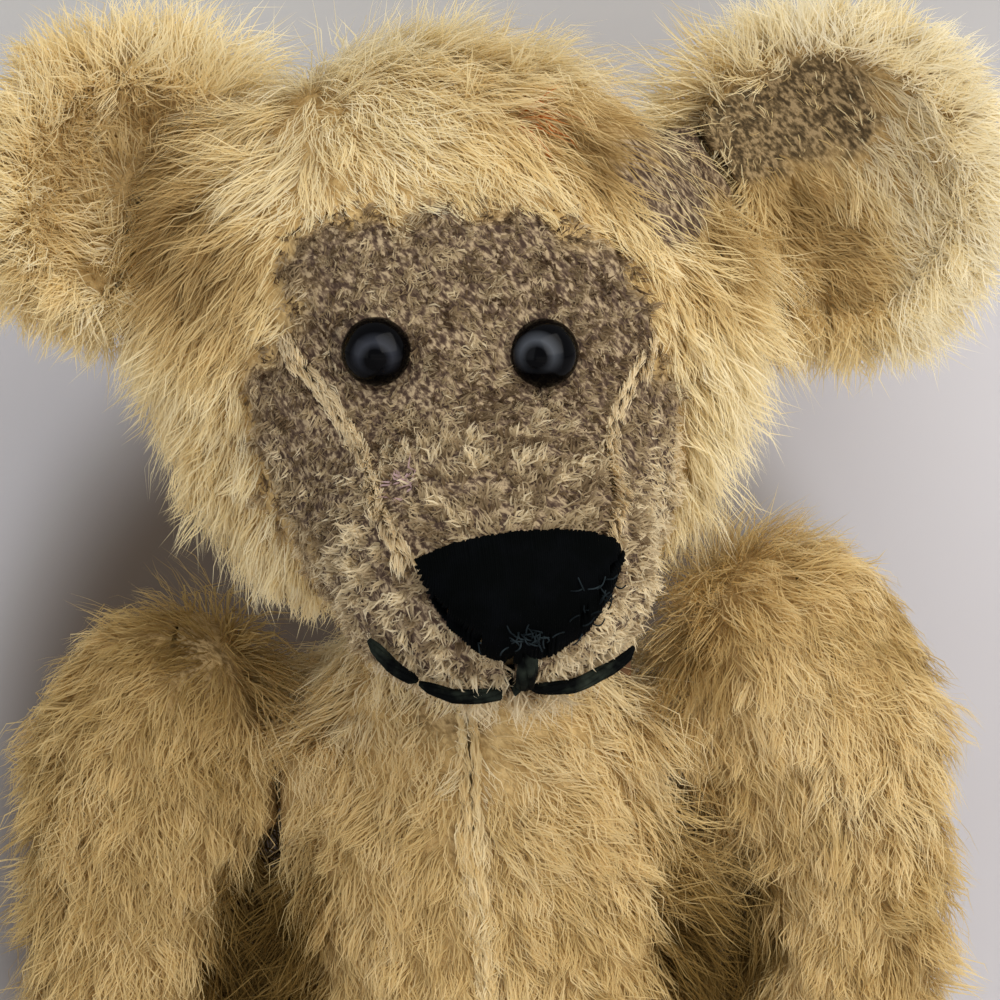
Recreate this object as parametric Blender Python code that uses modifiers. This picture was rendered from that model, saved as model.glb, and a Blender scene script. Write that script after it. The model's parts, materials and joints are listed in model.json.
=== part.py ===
"""A threadbare mohair teddy bear of the old jointed kind, sitting on the floor.

Sizes are in metres, with +Z up.  The bear faces -Y, so its own left side is at +X.
Each sewn panel is a node of its own, closed over a firm stuffing, and the head, arms
and legs turn on hardboard discs that a cotter pin holds together through the cloth.
"""
import math

import bmesh
import bpy
from mathutils import Matrix, Vector

MM = 0.001

# The cloth: a woven backing with its pile, and what the sewing leaves between panels.
CLOTH = 3.0 * MM
SEAM = 0.5 * MM
CLEARANCE = 0.3 * MM
FILLING_DEPTH = CLOTH + 0.95 * MM

# The torso leans a little to its right about a point in the chest.
LEAN = math.radians(4.0)
LEAN_HEIGHT = 65.0 * MM
BELLY = ((0.0, -2.0, 30.0), (21.2, 22.5, 34.0), 2.4)
CHEST = ((0.0, 0.0, 68.0), (21.2, 18.5, 27.5), 3.0)
TORSO_TOP = Vector((-1.0, 0.0, 70.0)) * MM
TORSO_SEAT = Vector((2.5, -2.0, 16.0)) * MM

# Where the body swells out again below the arms and above the legs, and how steeply.
ARM_RELIEF = 16.0 * MM
LEG_RELIEF = 27.0 * MM
ARM_RELIEF_SLOPE = 0.5

# Joints: a point on each joint's axis, midway between the two layers of cloth.
NECK = Vector((-2.0, 0.0, 94.0)) * MM
SHOULDERS = {1: Vector((17.2, 0.0, 86.0)) * MM, -1: Vector((-20.4, 0.0, 79.5)) * MM}
HIPS = {1: Vector((20.4, 1.0, 12.5)) * MM, -1: Vector((-13.8, 1.0, 12.5)) * MM}
HEAD_TURN = math.radians(8.5)
LEG_SPLAY = math.radians(9.0)

# The head's rounded masses, in the neck joint's frame: centre, radii and squareness.
HEAD_MASSES = (
    ((-2.3, -1.0, 30.0), (31.0, 24.5, 25.5), 2.0),
    ((-2.0, -7.0, 15.0), (24.0, 17.0, 15.5), 2.2),
    ((-1.9, -24.0, 12.5), (16.0, 19.5, 13.5), 2.3),
    ((0.0, -1.0, 8.0), (13.5, 13.0, 10.0), 3.0),
)
HEAD_BLEND = 7.0 * MM
HEAD_BACK = Vector((-2.3, 2.0, 25.0)) * MM
HEAD_FRONT = Vector((-2.0, -28.0, 13.0)) * MM

# Arms: how far out from the middle of the body each hangs, and its masses in the
# shoulder's frame with x counted from that line.  The shoulder itself reaches from
# inside the body to the arm's outer side, and its crest is highest near the body.
ARM_LINES = {1: 35.3, -1: 35.8}
ARM_MASSES = (
    ((0.0, -0.5, -20.0), (11.2, 11.4, 29.0), 2.1),
    ((-0.6, -6.0, -42.0), (10.2, 10.5, 11.5), 2.0),
)
SHOULDER_REACH = (-5.0, 8.5)
SHOULDER_RADII = (12.2, 13.0)
CREST_SHARE = 0.62
CREST_HEIGHTS = {1: 5.0, -1: 4.0}
CREST_RADII = (10.0, 10.0, 11.0)
ARM_TOP = Vector((-4.5, 0.0, 1.0))
ARM_PAW = Vector((-0.6, -5.0, -41.5))

# Legs, in the hip's frame: x is the distance out from the joint.
LEG_MASSES = (
    ((10.0, -7.0, 0.0), (13.5, 21.0, 13.0), 2.4),
    ((11.0, -37.0, -2.0), (9.8, 27.0, 11.0), 2.0),
    ((11.0, -57.0, 3.0), (11.0, 13.0, 17.0), 2.3),
)
LEG_TOP = Vector((10.5, -1.0, 0.0)) * MM
LEG_FOOT = Vector((11.0, -54.0, 1.5)) * MM
SOLE = 66.0 * MM
LIMB_BLEND = 6.0 * MM

# The panels' grids, as segments round the spine and rings along it, and the seams'
# places on them: the gusset's half width in segments, and where the pads begin.
HEAD_GRID = (28, 14)
TORSO_GRID = (20, 12)
LIMB_GRID = (16, 12)
GUSSET_STEPS = 4
PAW_SHARE = 8.5 / 12
FOOT_SHARE = 10.5 / 12

# Ears: each is a cupped disc, front and back, set on the head's upper corner.
# Centre and outward lean in the head's frame, radius, and the turn towards the face.
EARS = {
    1: (Vector((34.5, -3.0, 40.0)) * MM, 14.0 * MM, math.radians(18.0)),
    -1: (Vector((-31.5, -4.0, 42.0)) * MM, 11.5 * MM, math.radians(18.0)),
}
EAR_CUP = 5.0 * MM
EAR_CLOTH = 2.2 * MM
EAR_SIDES = 14

# The face: black glass eyes on wire shanks, a thread nose and thread mouth.
EYES = {1: (3.6 * MM, 30.6 * MM), -1: (-11.6 * MM, 31.0 * MM)}
EYE_RADIUS = 3.1 * MM
EYE_HEIGHT = 2.7 * MM
SHANK_RADIUS = 0.8 * MM
SHANK_LENGTH = 6.5 * MM
SHANK_ROOM = 1.0 * MM
NOSE_CENTRE = (-2.1 * MM, 14.4 * MM)
NOSE_HALF_WIDTH = 8.7 * MM
NOSE_RISE = 4.9 * MM
NOSE_DROP = 6.6 * MM
NOSE_THICKNESS = 1.5 * MM
THREAD = 0.85 * MM

# Joint hardware.
DISC_THICKNESS = 1.2 * MM
WASHER_THICKNESS = 0.5 * MM
WASHER_RADIUS = 3.2 * MM
PIN_WIRE = 0.45 * MM
PIN_SPREAD = 0.65 * MM
PIN_EYE = 1.5 * MM
PIN_CURL = 1.6 * MM
PIN_BEND = 2.2 * MM
PIN_HOLE = 1.4 * MM
HOLE_REACH = CLOTH + 1.5 * MM
POCKET_DEPTH = 9.6 * MM
POCKET_ROOM = 0.6 * MM
DISC_RADII = {"neck": 6.8 * MM, "shoulder": 5.4 * MM, "hip": 6.2 * MM}

# Where the wrapped grid changes from one end's cap to the stretch between the ends.
CAP_SHARE = 0.25


def clear_scene():
    for item in list(bpy.data.objects):
        bpy.data.objects.remove(item, do_unlink=True)


def make_collection(name):
    collection = bpy.data.collections.new(name)
    bpy.context.scene.collection.children.link(collection)
    return collection


def make_material(name, colour, roughness, metallic=0.0):
    material = bpy.data.materials.new(name)
    material.use_nodes = True
    shader = material.node_tree.nodes["Principled BSDF"]
    shader.inputs["Base Color"].default_value = (*colour, 1.0)
    shader.inputs["Roughness"].default_value = roughness
    shader.inputs["Metallic"].default_value = metallic
    return material


def make_empty(name, location, collection, turn=0.0):
    """A parent on a joint's axis, which the joint's moving pieces hang from."""
    empty = bpy.data.objects.new(name, None)
    empty.empty_display_size = 0.02
    empty.location = location
    empty.rotation_euler = (0.0, 0.0, turn)
    collection.objects.link(empty)
    return empty


def make_object(name, mesh, material, collection, parent=None, sharp=50.0):
    item = bpy.data.objects.new(name, mesh)
    mesh.materials.clear()
    mesh.materials.append(material)
    mesh.shade_smooth()
    mesh.set_sharp_from_angle(angle=math.radians(sharp))
    item.parent = parent
    collection.objects.link(item)
    return item


def finish_mesh(name, work, outward=None):
    """Turn a working mesh into a named one whose faces point out of it.

    An open surface, which has no inside, says which way out is.
    """
    bmesh.ops.recalc_face_normals(work, faces=work.faces[:])
    if outward is None:
        wrong = work.calc_volume(signed=True) < 0.0
    else:
        wrong = sum((face.normal for face in work.faces), Vector()).dot(outward) < 0.0
    if wrong:
        bmesh.ops.reverse_faces(work, faces=work.faces[:])
    mesh = bpy.data.meshes.new(name)
    work.to_mesh(mesh)
    work.free()
    return mesh


def cut(item, cutter):
    modifier = item.modifiers.new("Cut " + cutter.name, "BOOLEAN")
    modifier.operation = "DIFFERENCE"
    modifier.solver = "EXACT"
    modifier.object = cutter


# ---------------------------------------------------------------- forms

def bulb(point, centre, radii, power):
    """Roughly how far a point lies outside a rounded mass, below zero inside it."""
    total = 0.0
    slopes = []
    for value, middle, radius in zip(point, centre, radii):
        share = abs(value - middle * MM) / (radius * MM)
        total += share ** power
        slopes.append(share ** (power - 1.0) / (radius * MM))
    if total < 1e-12:
        return -min(radii) * MM
    reach = total ** (1.0 / power)
    steepness = math.hypot(*slopes) * total ** (1.0 / power - 1.0)
    return (reach - 1.0) / steepness


def melt(first, second, width):
    """The union of two forms with a rounded hollow of the given width between them."""
    overlap = max(width - abs(first - second), 0.0) / width
    return min(first, second) - overlap * overlap * width * 0.25


def melted(point, masses, width):
    value = bulb(point, *masses[0])
    for mass in masses[1:]:
        value = melt(value, bulb(point, *mass), width)
    return value


def head_form(point):
    """The head in the neck joint's frame, flat underneath where it meets the body."""
    return max(melted(point, HEAD_MASSES, HEAD_BLEND), CLEARANCE / 2 - point.z)


def arm_middle(side):
    """How far out from the shoulder's joint the middle of the arm hangs, in mm."""
    return ARM_LINES[side] - abs(SHOULDERS[side].x) / MM


def arm_masses(side):
    """The shoulder, which swells in to meet the body, its crest, the arm and the paw."""
    middle = arm_middle(side)
    inside, outside = SHOULDER_REACH[0], middle + SHOULDER_REACH[1]
    shoulder = (((outside + inside) / 2, 0.0, 0.0),
                ((outside - inside) / 2, *SHOULDER_RADII), 2.5)
    crest = ((middle * CREST_SHARE, 0.0, CREST_HEIGHTS[side]), CREST_RADII, 2.2)
    below = [((middle + x, y, z), radii, power) for (x, y, z), radii, power in ARM_MASSES]
    return (shoulder, crest, *below)


def limb_form(side, masses):
    """An arm or leg in its joint's frame, flat on the side that meets the body."""
    def form(point):
        outward = Vector((side * point.x, point.y, point.z))
        value = melted(outward, masses, LIMB_BLEND)
        return max(value, CLEARANCE / 2 - outward.x)
    return form


def leg_form(side):
    """A leg also lies flat on the floor and ends in a flat sole."""
    limb = limb_form(side, LEG_MASSES)

    def form(point):
        return max(limb(point), -HIPS[side].z - point.z, -SOLE - point.y)
    return form


def upright(point):
    """A point of the leaning torso, moved to where it would be in an upright one."""
    height = point.z - LEAN_HEIGHT
    x = point.x * math.cos(LEAN) + height * math.sin(LEAN)
    z = height * math.cos(LEAN) - point.x * math.sin(LEAN) + LEAN_HEIGHT
    return Vector((x, point.y, z))


def torso_form(point):
    """The torso, flat on the floor, at the neck and where the limbs press on it."""
    straight = upright(point)
    value = melt(bulb(straight, *BELLY), bulb(straight, *CHEST), LIMB_BLEND)
    value = max(value, -point.z, point.z - NECK.z + CLEARANCE / 2)
    for side in (1, -1):
        shoulder = side * (point.x - SHOULDERS[side].x) + CLEARANCE / 2
        below_arm = max(0.0, SHOULDERS[side].z - ARM_RELIEF - point.z)
        hip = (point - HIPS[side]).dot(hip_axis(side)) + CLEARANCE / 2
        above_leg = max(0.0, point.z - LEG_RELIEF)
        value = max(value, shoulder - ARM_RELIEF_SLOPE * below_arm, hip - above_leg)
    return value


def hip_axis(side):
    """The direction out of the body along a hip's axis."""
    return Vector((side * math.cos(LEG_SPLAY), math.sin(LEG_SPLAY), 0.0))


# ------------------------------------------------------- wrapping a ball round a form

def reach_surface(form, start, direction, inset):
    """The point where a ray from inside a form meets its surface, less an inset."""
    near, far = 0.0, 0.12
    for _ in range(32):
        middle = (near + far) / 2
        if form(start + direction * middle) + inset < 0.0:
            near = middle
        else:
            far = middle
    return start + direction * near


class Wrap:
    """A ball wrapped round a form, with its poles at the two ends of a spine.

    Rays leave the first end as a cap, then leave the spine at right angles, and leave
    the last end as a cap.  Angles round the spine are counted from the side direction.
    """

    def __init__(self, form, first, last, side, grid):
        self.form = form
        self.first = first
        self.last = last
        self.axis = (first - last).normalized()
        self.side = (side - self.axis * side.dot(self.axis)).normalized()
        self.across = self.axis.cross(self.side)
        self.segments, self.rings = grid

    def around(self, angle):
        return self.side * math.cos(angle) + self.across * math.sin(angle)

    def ray(self, share, angle):
        """Start and direction of the ray at a share of the way from pole to pole."""
        middle = (share - CAP_SHARE) / (1.0 - 2.0 * CAP_SHARE)
        start = self.first.lerp(self.last, min(max(middle, 0.0), 1.0))
        tilt = 0.0
        if share < CAP_SHARE:
            tilt = (1.0 - share / CAP_SHARE) * math.pi / 2
        if share > 1.0 - CAP_SHARE:
            tilt = -(1.0 - (1.0 - share) / CAP_SHARE) * math.pi / 2
        direction = self.around(angle) * math.cos(tilt) + self.axis * math.sin(tilt)
        return start, direction

    def ball(self, name, inset, segments):
        """The whole closed form, set in from its surface by a distance."""
        work = bmesh.new()
        bmesh.ops.create_uvsphere(
            work, u_segments=segments, v_segments=self.rings, radius=1.0)
        for vertex in work.verts:
            share = math.acos(max(-1.0, min(1.0, vertex.co.z))) / math.pi
            angle = math.atan2(vertex.co.y, vertex.co.x)
            start, direction = self.ray(share, angle)
            vertex.co = reach_surface(self.form, start, direction, inset)
        return finish_mesh(name, work)

    def panel(self, name, angles, shares=(0.0, 1.0), cloth=CLOTH):
        """A cloth panel between two seams along the spine and two rings round it."""
        work = bmesh.new()
        bmesh.ops.create_uvsphere(
            work, u_segments=self.segments, v_segments=self.rings, radius=1.0)
        middle = (angles[0] + angles[1]) / 2
        half = (angles[1] - angles[0]) / 2
        spare = []
        for face in work.faces:
            centre = face.calc_center_median().normalized()
            share = math.acos(centre.z) / math.pi
            turn = math.remainder(math.atan2(centre.y, centre.x) - middle, math.tau)
            if abs(turn) > half or not shares[0] < share < shares[1]:
                spare.append(face)
        bmesh.ops.delete(work, geom=spare, context="FACES")
        layer = work.verts.layers.int.new("ray")
        rays = []
        for number, vertex in enumerate(work.verts):
            share = math.acos(max(-1.0, min(1.0, vertex.co.z))) / math.pi
            angle = math.atan2(vertex.co.y, vertex.co.x)
            shift = self.seam_shift(share, angle, angles, shares)
            start, direction = self.ray(share, angle)
            rays.append((start, direction, shift))
            vertex[layer] = number
        grown = bmesh.ops.extrude_face_region(
            work, geom=work.faces[:], use_keep_orig=True)
        inside = {item for item in grown["geom"] if isinstance(item, bmesh.types.BMVert)}
        for vertex in work.verts:
            start, direction, shift = rays[vertex[layer]]
            inset = cloth if vertex in inside else 0.0
            vertex.co = reach_surface(self.form, start, direction, inset) + shift
        return finish_mesh(name, work)

    def seam_shift(self, share, angle, angles, shares):
        """How far a panel's edge steps back from the seam that it is sewn along."""
        on_pole = share < 0.01 or share > 0.99
        half_seam = SEAM / 2
        shift = Vector()
        if angles[1] - angles[0] < math.tau - 0.01:
            inward = [self.around(angles[0] + math.pi / 2), self.around(angles[1] - math.pi / 2)]
            if on_pole:
                both = inward[0] + inward[1]
                shift += both * half_seam / (1.0 + inward[0].dot(inward[1]))
            elif abs(math.remainder(angle - angles[0], math.tau)) < 0.01:
                shift += inward[0] * half_seam
            elif abs(math.remainder(angle - angles[1], math.tau)) < 0.01:
                shift += inward[1] * half_seam
        step = 0.5 / self.rings
        if shares[0] > 0.0 and share - shares[0] < step and not on_pole:
            shift -= self.axis * half_seam
        if shares[1] < 1.0 and shares[1] - share < step and not on_pole:
            shift += self.axis * half_seam
        return shift


# ---------------------------------------------------------------- joint hardware

def turned(name, profile, steps, closed=False):
    """A turned piece on the X axis from a profile of (distance along, radius) points."""
    work = bmesh.new()
    corners = [work.verts.new((along, 0.0, radius)) for along, radius in profile]
    edges = [work.edges.new(pair) for pair in zip(corners, corners[1:])]
    if closed:
        edges.append(work.edges.new((corners[-1], corners[0])))
    bmesh.ops.spin(
        work, geom=corners + edges, axis=(1.0, 0.0, 0.0), cent=(0.0, 0.0, 0.0),
        steps=steps, angle=math.tau, use_merge=True)
    bmesh.ops.remove_doubles(work, verts=work.verts[:], dist=1e-6)
    return finish_mesh(name, work)


def ring_mesh(name, start, thickness, radius, hole, steps):
    end = start + thickness
    profile = [(start, hole), (start, radius), (end, radius), (end, hole)]
    return turned(name, profile, steps, closed=True)


def rod_mesh(name, start, end, radius, sides):
    work = bmesh.new()
    bmesh.ops.create_cone(
        work, cap_ends=True, segments=sides, radius1=radius, radius2=radius,
        depth=end - start)
    turn = Matrix.Rotation(math.pi / 2, 4, "Y")
    place = Matrix.Translation(((start + end) / 2, 0.0, 0.0))
    bmesh.ops.transform(work, matrix=place @ turn, verts=work.verts[:])
    return finish_mesh(name, work)


def pin_path(head, tail):
    """A cotter pin's wire: one curled leg, up to the eye and back, and the other leg."""
    half = []
    for angle in (math.radians(150), math.radians(95), math.radians(45)):
        half.append(Vector((tail + PIN_CURL * math.sin(angle), 0.0,
                            PIN_SPREAD + PIN_CURL * (1.0 - math.cos(angle)))))
    half.append(Vector((tail + PIN_BEND, 0.0, PIN_SPREAD)))
    half.append(Vector((head, 0.0, PIN_SPREAD)))
    eye_centre = head + PIN_EYE
    for angle in (math.radians(110), math.radians(55)):
        half.append(Vector((eye_centre + PIN_EYE * math.cos(angle), 0.0,
                            PIN_EYE * math.sin(angle))))
    top = Vector((eye_centre + PIN_EYE, 0.0, 0.0))
    return [*half, top, *(Vector((p.x, p.y, -p.z)) for p in reversed(half))]


def wire_object(name, points, radius, material, collection, parent):
    """A closed tube of wire or thread along a run of points."""
    curve = bpy.data.curves.new(name, "CURVE")
    curve.dimensions = "3D"
    curve.bevel_depth = radius
    curve.bevel_resolution = 1
    curve.use_fill_caps = True
    spline = curve.splines.new("POLY")
    spline.points.add(len(points) - 1)
    for target, point in zip(spline.points, points):
        target.co = (*point, 1.0)
    curve.materials.append(material)
    item = bpy.data.objects.new(name, curve)
    item.parent = parent
    collection.objects.link(item)
    return item


def facing(place, direction):
    """A frame at a place, with its x axis along a direction."""
    return Matrix.Translation(place) @ direction.to_track_quat("X", "Z").to_matrix().to_4x4()


class Joint:
    """One disc joint.  Its own x axis points from the body into the moving piece."""

    def __init__(self, name, kind, place, direction, collections, looks, parents):
        self.name = name
        self.bear, self.cutters = collections
        self.radius = DISC_RADII[kind]
        self.frame = facing(place, direction)
        self.board, self.steel = looks
        self.parent, self.inner = parents

    def put(self, item, parent):
        """Stand a piece modelled along x on the joint's axis, under its parent."""
        if parent is None:
            item.matrix_basis = self.frame
        else:
            item.matrix_basis = parent.matrix_basis.inverted() @ self.frame

    def add_ring(self, name, start, thickness, radius, steps, material, parent):
        mesh = ring_mesh(name, start, thickness, radius, PIN_HOLE, steps)
        item = make_object(name, mesh, material, self.bear, parent, 30.0)
        self.put(item, parent)

    def build(self):
        disc = CLOTH + 1.5 * CLEARANCE
        washer = disc + DISC_THICKNESS + CLEARANCE
        end = washer + WASHER_THICKNESS
        self.add_ring(self.name + "_outer_disc", disc, DISC_THICKNESS,
                      self.radius, 14, self.board, self.parent)
        self.add_ring(self.name + "_outer_washer", washer, WASHER_THICKNESS,
                      WASHER_RADIUS, 10, self.steel, self.parent)
        self.add_ring(self.name + "_inner_disc", -disc - DISC_THICKNESS, DISC_THICKNESS,
                      self.radius, 14, self.board, self.inner)
        self.add_ring(self.name + "_inner_washer", -end, WASHER_THICKNESS,
                      WASHER_RADIUS, 10, self.steel, self.inner)
        head = end + CLEARANCE + PIN_WIRE
        tail = -end - CLEARANCE - PIN_WIRE - PIN_BEND
        pin = wire_object(self.name + "_cotter_pin", pin_path(head, tail), PIN_WIRE,
                          self.steel, self.bear, self.parent)
        self.put(pin, self.parent)

    def cutter(self, name, start, end, radius, sides):
        mesh = rod_mesh(self.name + name, start, end, radius, sides)
        item = bpy.data.objects.new(self.name + name, mesh)
        item.hide_render = True
        item.display_type = "WIRE"
        self.cutters.objects.link(item)
        item.matrix_basis = self.frame
        return item

    def open_up(self, limb_cloth, limb_filling, body_cloth, body_filling):
        """Pierce the cloth for the pin and hollow out room for the discs."""
        through = self.cutter("_hole", -HOLE_REACH, HOLE_REACH, PIN_HOLE, 8)
        near = CLOTH + 0.8 * CLEARANCE
        room = self.radius + POCKET_ROOM
        outer = self.cutter("_outer_pocket", near, POCKET_DEPTH, room, 12)
        inner = self.cutter("_inner_pocket", -POCKET_DEPTH, -near, room, 12)
        for cloth, filling, pocket in ((limb_cloth, limb_filling, outer),
                                       (body_cloth, body_filling, inner)):
            for panel in cloth:
                cut(panel, through)
                cut(panel, pocket)
            cut(filling, pocket)


# ---------------------------------------------------------------- sewn pieces

def head_wrap():
    return Wrap(head_form, HEAD_FRONT, HEAD_BACK, Vector((1.0, 0.0, 0.0)), HEAD_GRID)


def build_head(bear, cloth, filling, parent):
    """A gusset over the top of the head, between two sides that meet at the throat."""
    wrap = head_wrap()
    spread = GUSSET_STEPS * math.tau / wrap.segments
    top = math.copysign(math.pi / 2, wrap.across.z)
    seams = (top - spread, top + spread)
    throat = top + math.pi
    plan = {
        "head_gusset": seams,
        "side_head_left": (throat, seams[0] + math.tau),
        "side_head_right": (seams[1], throat),
    }
    pieces = {}
    for name, angles in plan.items():
        mesh = wrap.panel(name, angles)
        pieces[name] = make_object(name, mesh, cloth, bear, parent)
    mesh = wrap.ball("head_stuffing", FILLING_DEPTH, wrap.segments // 2)
    pieces["stuffing"] = make_object("head_stuffing", mesh, filling, bear, parent)
    return pieces


def cupped_disc(name, radius, depth):
    """An open bowl whose hollow looks down z, moved back along its normals by a depth."""
    work = bmesh.new()
    bmesh.ops.create_circle(work, cap_ends=True, radius=radius, segments=EAR_SIDES)
    bmesh.ops.poke(work, faces=work.faces[:])
    spokes = [edge for edge in work.edges if not edge.is_boundary]
    bmesh.ops.subdivide_edges(work, edges=spokes, cuts=1)
    bmesh.ops.triangulate(work, faces=work.faces[:])
    for vertex in work.verts:
        share = vertex.co.length / radius
        vertex.co.z = EAR_CUP * (1.0 - share * share)
    bmesh.ops.recalc_face_normals(work, faces=work.faces[:])
    work.normal_update()
    for vertex in work.verts:
        vertex.co += vertex.normal * math.copysign(depth, vertex.normal.z)
    return finish_mesh(name, work, Vector((0.0, 0.0, 1.0)))


def build_ears(bear, cloth, cutters, parent):
    """Cupped front and back panels, trimmed to sit on the head without touching it."""
    wrap = head_wrap()
    mesh = wrap.ball("head_outline", -CLEARANCE, wrap.segments)
    outline = bpy.data.objects.new("head_outline", mesh)
    outline.hide_render = True
    outline.display_type = "WIRE"
    outline.parent = parent
    cutters.objects.link(outline)
    for side, (centre, radius, turn) in EARS.items():
        label = "left" if side > 0 else "right"
        # The bowl's own z axis points to the back of the head.
        tilt = Matrix.Rotation(-side * turn, 4, "Z") @ Matrix.Rotation(-math.pi / 2, 4, "X")
        for part, depth in (("front", 0.0), ("back", EAR_CLOTH + CLEARANCE)):
            name = f"ear_{part}_{label}"
            ear = make_object(name, cupped_disc(name, radius, depth), cloth, bear, parent)
            ear.matrix_basis = Matrix.Translation(centre) @ tilt
            shell = ear.modifiers.new("Cloth", "SOLIDIFY")
            shell.thickness = EAR_CLOTH
            shell.offset = 1.0
            cut(ear, outline)


def build_torso(bear, cloth, filling):
    """A left and a right half, sewn together down the front and the back."""
    wrap = Wrap(torso_form, TORSO_TOP, TORSO_SEAT, Vector((1.0, 0.0, 0.0)), TORSO_GRID)
    pieces = {}
    for name, angles in (("body_left", (-math.pi / 2, math.pi / 2)),
                         ("body_right", (math.pi / 2, math.pi * 1.5))):
        mesh = wrap.panel(name, angles)
        pieces[name] = make_object(name, mesh, cloth, bear)
    mesh = wrap.ball("body_stuffing", FILLING_DEPTH, wrap.segments // 2)
    pieces["stuffing"] = make_object("body_stuffing", mesh, filling, bear)
    return pieces


def limb_wrap(kind, side):
    """The wrapped form of an arm or a leg, from the joint to the paw or foot."""
    if kind == "arm":
        form = limb_form(side, arm_masses(side))
        hang = Vector((arm_middle(side), 0.0, 0.0))
        ends = ((hang + ARM_TOP) * MM, (hang + ARM_PAW) * MM)
    else:
        form = leg_form(side)
        ends = (LEG_TOP, LEG_FOOT)
    first, last = (Vector((side * end.x, end.y, end.z)) for end in ends)
    return Wrap(form, first, last, Vector((float(side), 0.0, 0.0)), LIMB_GRID)


def build_limb(kind, side, looks, bear, parent):
    """An inner and an outer panel, a pad of felt at the end, and the stuffing."""
    cloth, felt, filling = looks
    label = "left" if side > 0 else "right"
    outer = (-math.pi / 2, math.pi / 2)
    inner = (math.pi / 2, math.pi * 1.5)
    if kind == "arm":
        plan = {
            f"arm_outer_{label}": (outer, (0.0, 1.0), cloth),
            f"paw_pad_{label}": (inner, (PAW_SHARE, 1.0), felt),
            f"arm_inner_{label}": (inner, (0.0, PAW_SHARE), cloth),
        }
    else:
        plan = {
            f"leg_outer_{label}": (outer, (0.0, FOOT_SHARE), cloth),
            f"foot_pad_{label}": ((0.0, math.tau), (FOOT_SHARE, 1.0), felt),
            f"leg_inner_{label}": (inner, (0.0, FOOT_SHARE), cloth),
        }
    wrap = limb_wrap(kind, side)
    pieces = {}
    for name, (angles, shares, look) in plan.items():
        mesh = wrap.panel(name, angles, shares)
        pieces[name] = make_object(name, mesh, look, bear, parent)
    name = f"{kind}_stuffing_{label}"
    mesh = wrap.ball(name, FILLING_DEPTH, wrap.segments // 2)
    stuffing = make_object(name, mesh, filling, bear, parent)
    return pieces[f"{kind}_inner_{label}"], stuffing


# ---------------------------------------------------------------- the face

def face_point(x, z, lift):
    """The point in front of the head's surface at a place seen from the front."""
    start = Vector((x, HEAD_FRONT.y, z))
    if head_form(start) > 0.0:
        start.y = HEAD_BACK.y
    return reach_surface(head_form, start, Vector((0.0, -1.0, 0.0)), -lift)


def face_normal(x, z):
    """The way out of the head's surface there."""
    step = 0.5 * MM
    rise = face_point(x, z + step, 0.0) - face_point(x, z - step, 0.0)
    run = face_point(x + step, z, 0.0) - face_point(x - step, z, 0.0)
    return run.cross(rise).normalized()


def eye_profile():
    """Shank, flat back and dome, from the end of the shank to the front."""
    dome = [(EYE_HEIGHT * math.sin(a), EYE_RADIUS * math.cos(a))
            for a in (math.radians(d) for d in (8, 24, 40, 56, 72))]
    back = [(-SHANK_LENGTH, 0.0), (-SHANK_LENGTH, SHANK_RADIUS), (0.0, SHANK_RADIUS),
            (0.0, EYE_RADIUS * 0.9)]
    return back + dome + [(EYE_HEIGHT, 0.0)]


def eye_hole_profile():
    """Room for the shank, and a shallow bed in the pile for the flat back."""
    deep = -SHANK_LENGTH - SHANK_ROOM
    narrow = SHANK_RADIUS + CLEARANCE
    wide = EYE_RADIUS + CLEARANCE
    return [(deep, 0.0), (deep, narrow), (-CLEARANCE, narrow), (-CLEARANCE, wide),
            (EYE_HEIGHT, wide), (EYE_HEIGHT, 0.0)]


def build_eyes(bear, glass, cutters, parent, pierced):
    for side, (x, z) in EYES.items():
        label = "left" if side > 0 else "right"
        frame = facing(face_point(x, z, 0.0), face_normal(x, z))
        mesh = turned(f"eye_{label}", eye_profile(), 14)
        eye = make_object(f"eye_{label}", mesh, glass, bear, parent, 40.0)
        eye.matrix_basis = frame
        mesh = turned(f"eye_hole_{label}", eye_hole_profile(), 12)
        hole = bpy.data.objects.new(f"eye_hole_{label}", mesh)
        hole.hide_render = True
        hole.display_type = "WIRE"
        hole.parent = parent
        hole.matrix_basis = frame
        cutters.objects.link(hole)
        for item in pierced:
            cut(item, hole)


def shield(angle):
    """The nose's outline about its centre: broad on top, drawn to a point below."""
    across = math.cos(angle)
    up = math.sin(angle)
    if up >= 0.0:
        return (NOSE_HALF_WIDTH * math.copysign(abs(across) ** 0.55, across),
                NOSE_RISE * up ** 0.9)
    return NOSE_HALF_WIDTH * across, -NOSE_DROP * (1.0 - abs(across) ** 2.1)


def build_nose(bear, thread, parent):
    """A padded shield of thread stitched over the end of the muzzle."""
    work = bmesh.new()
    centre_x, centre_z = NOSE_CENTRE
    turns = 20
    rows = 3
    middle = work.verts.new(face_point(centre_x, centre_z, CLEARANCE))
    rings = []
    for row in range(1, rows + 1):
        ring = []
        for turn in range(turns):
            x, z = shield(math.tau * turn / turns)
            share = row / rows
            point = face_point(centre_x + x * share, centre_z + z * share, CLEARANCE)
            ring.append(work.verts.new(point))
        rings.append(ring)
    for turn in range(turns):
        after = (turn + 1) % turns
        work.faces.new((middle, rings[0][turn], rings[0][after]))
        for near, far in zip(rings, rings[1:]):
            work.faces.new((near[turn], far[turn], far[after], near[after]))
    mesh = finish_mesh("nose_stitching", work, Vector((0.0, -1.0, 0.0)))
    nose = make_object("nose_stitching", mesh, thread, bear, parent)
    shell = nose.modifiers.new("Thread", "SOLIDIFY")
    shell.thickness = NOSE_THICKNESS
    shell.offset = 1.0


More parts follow.
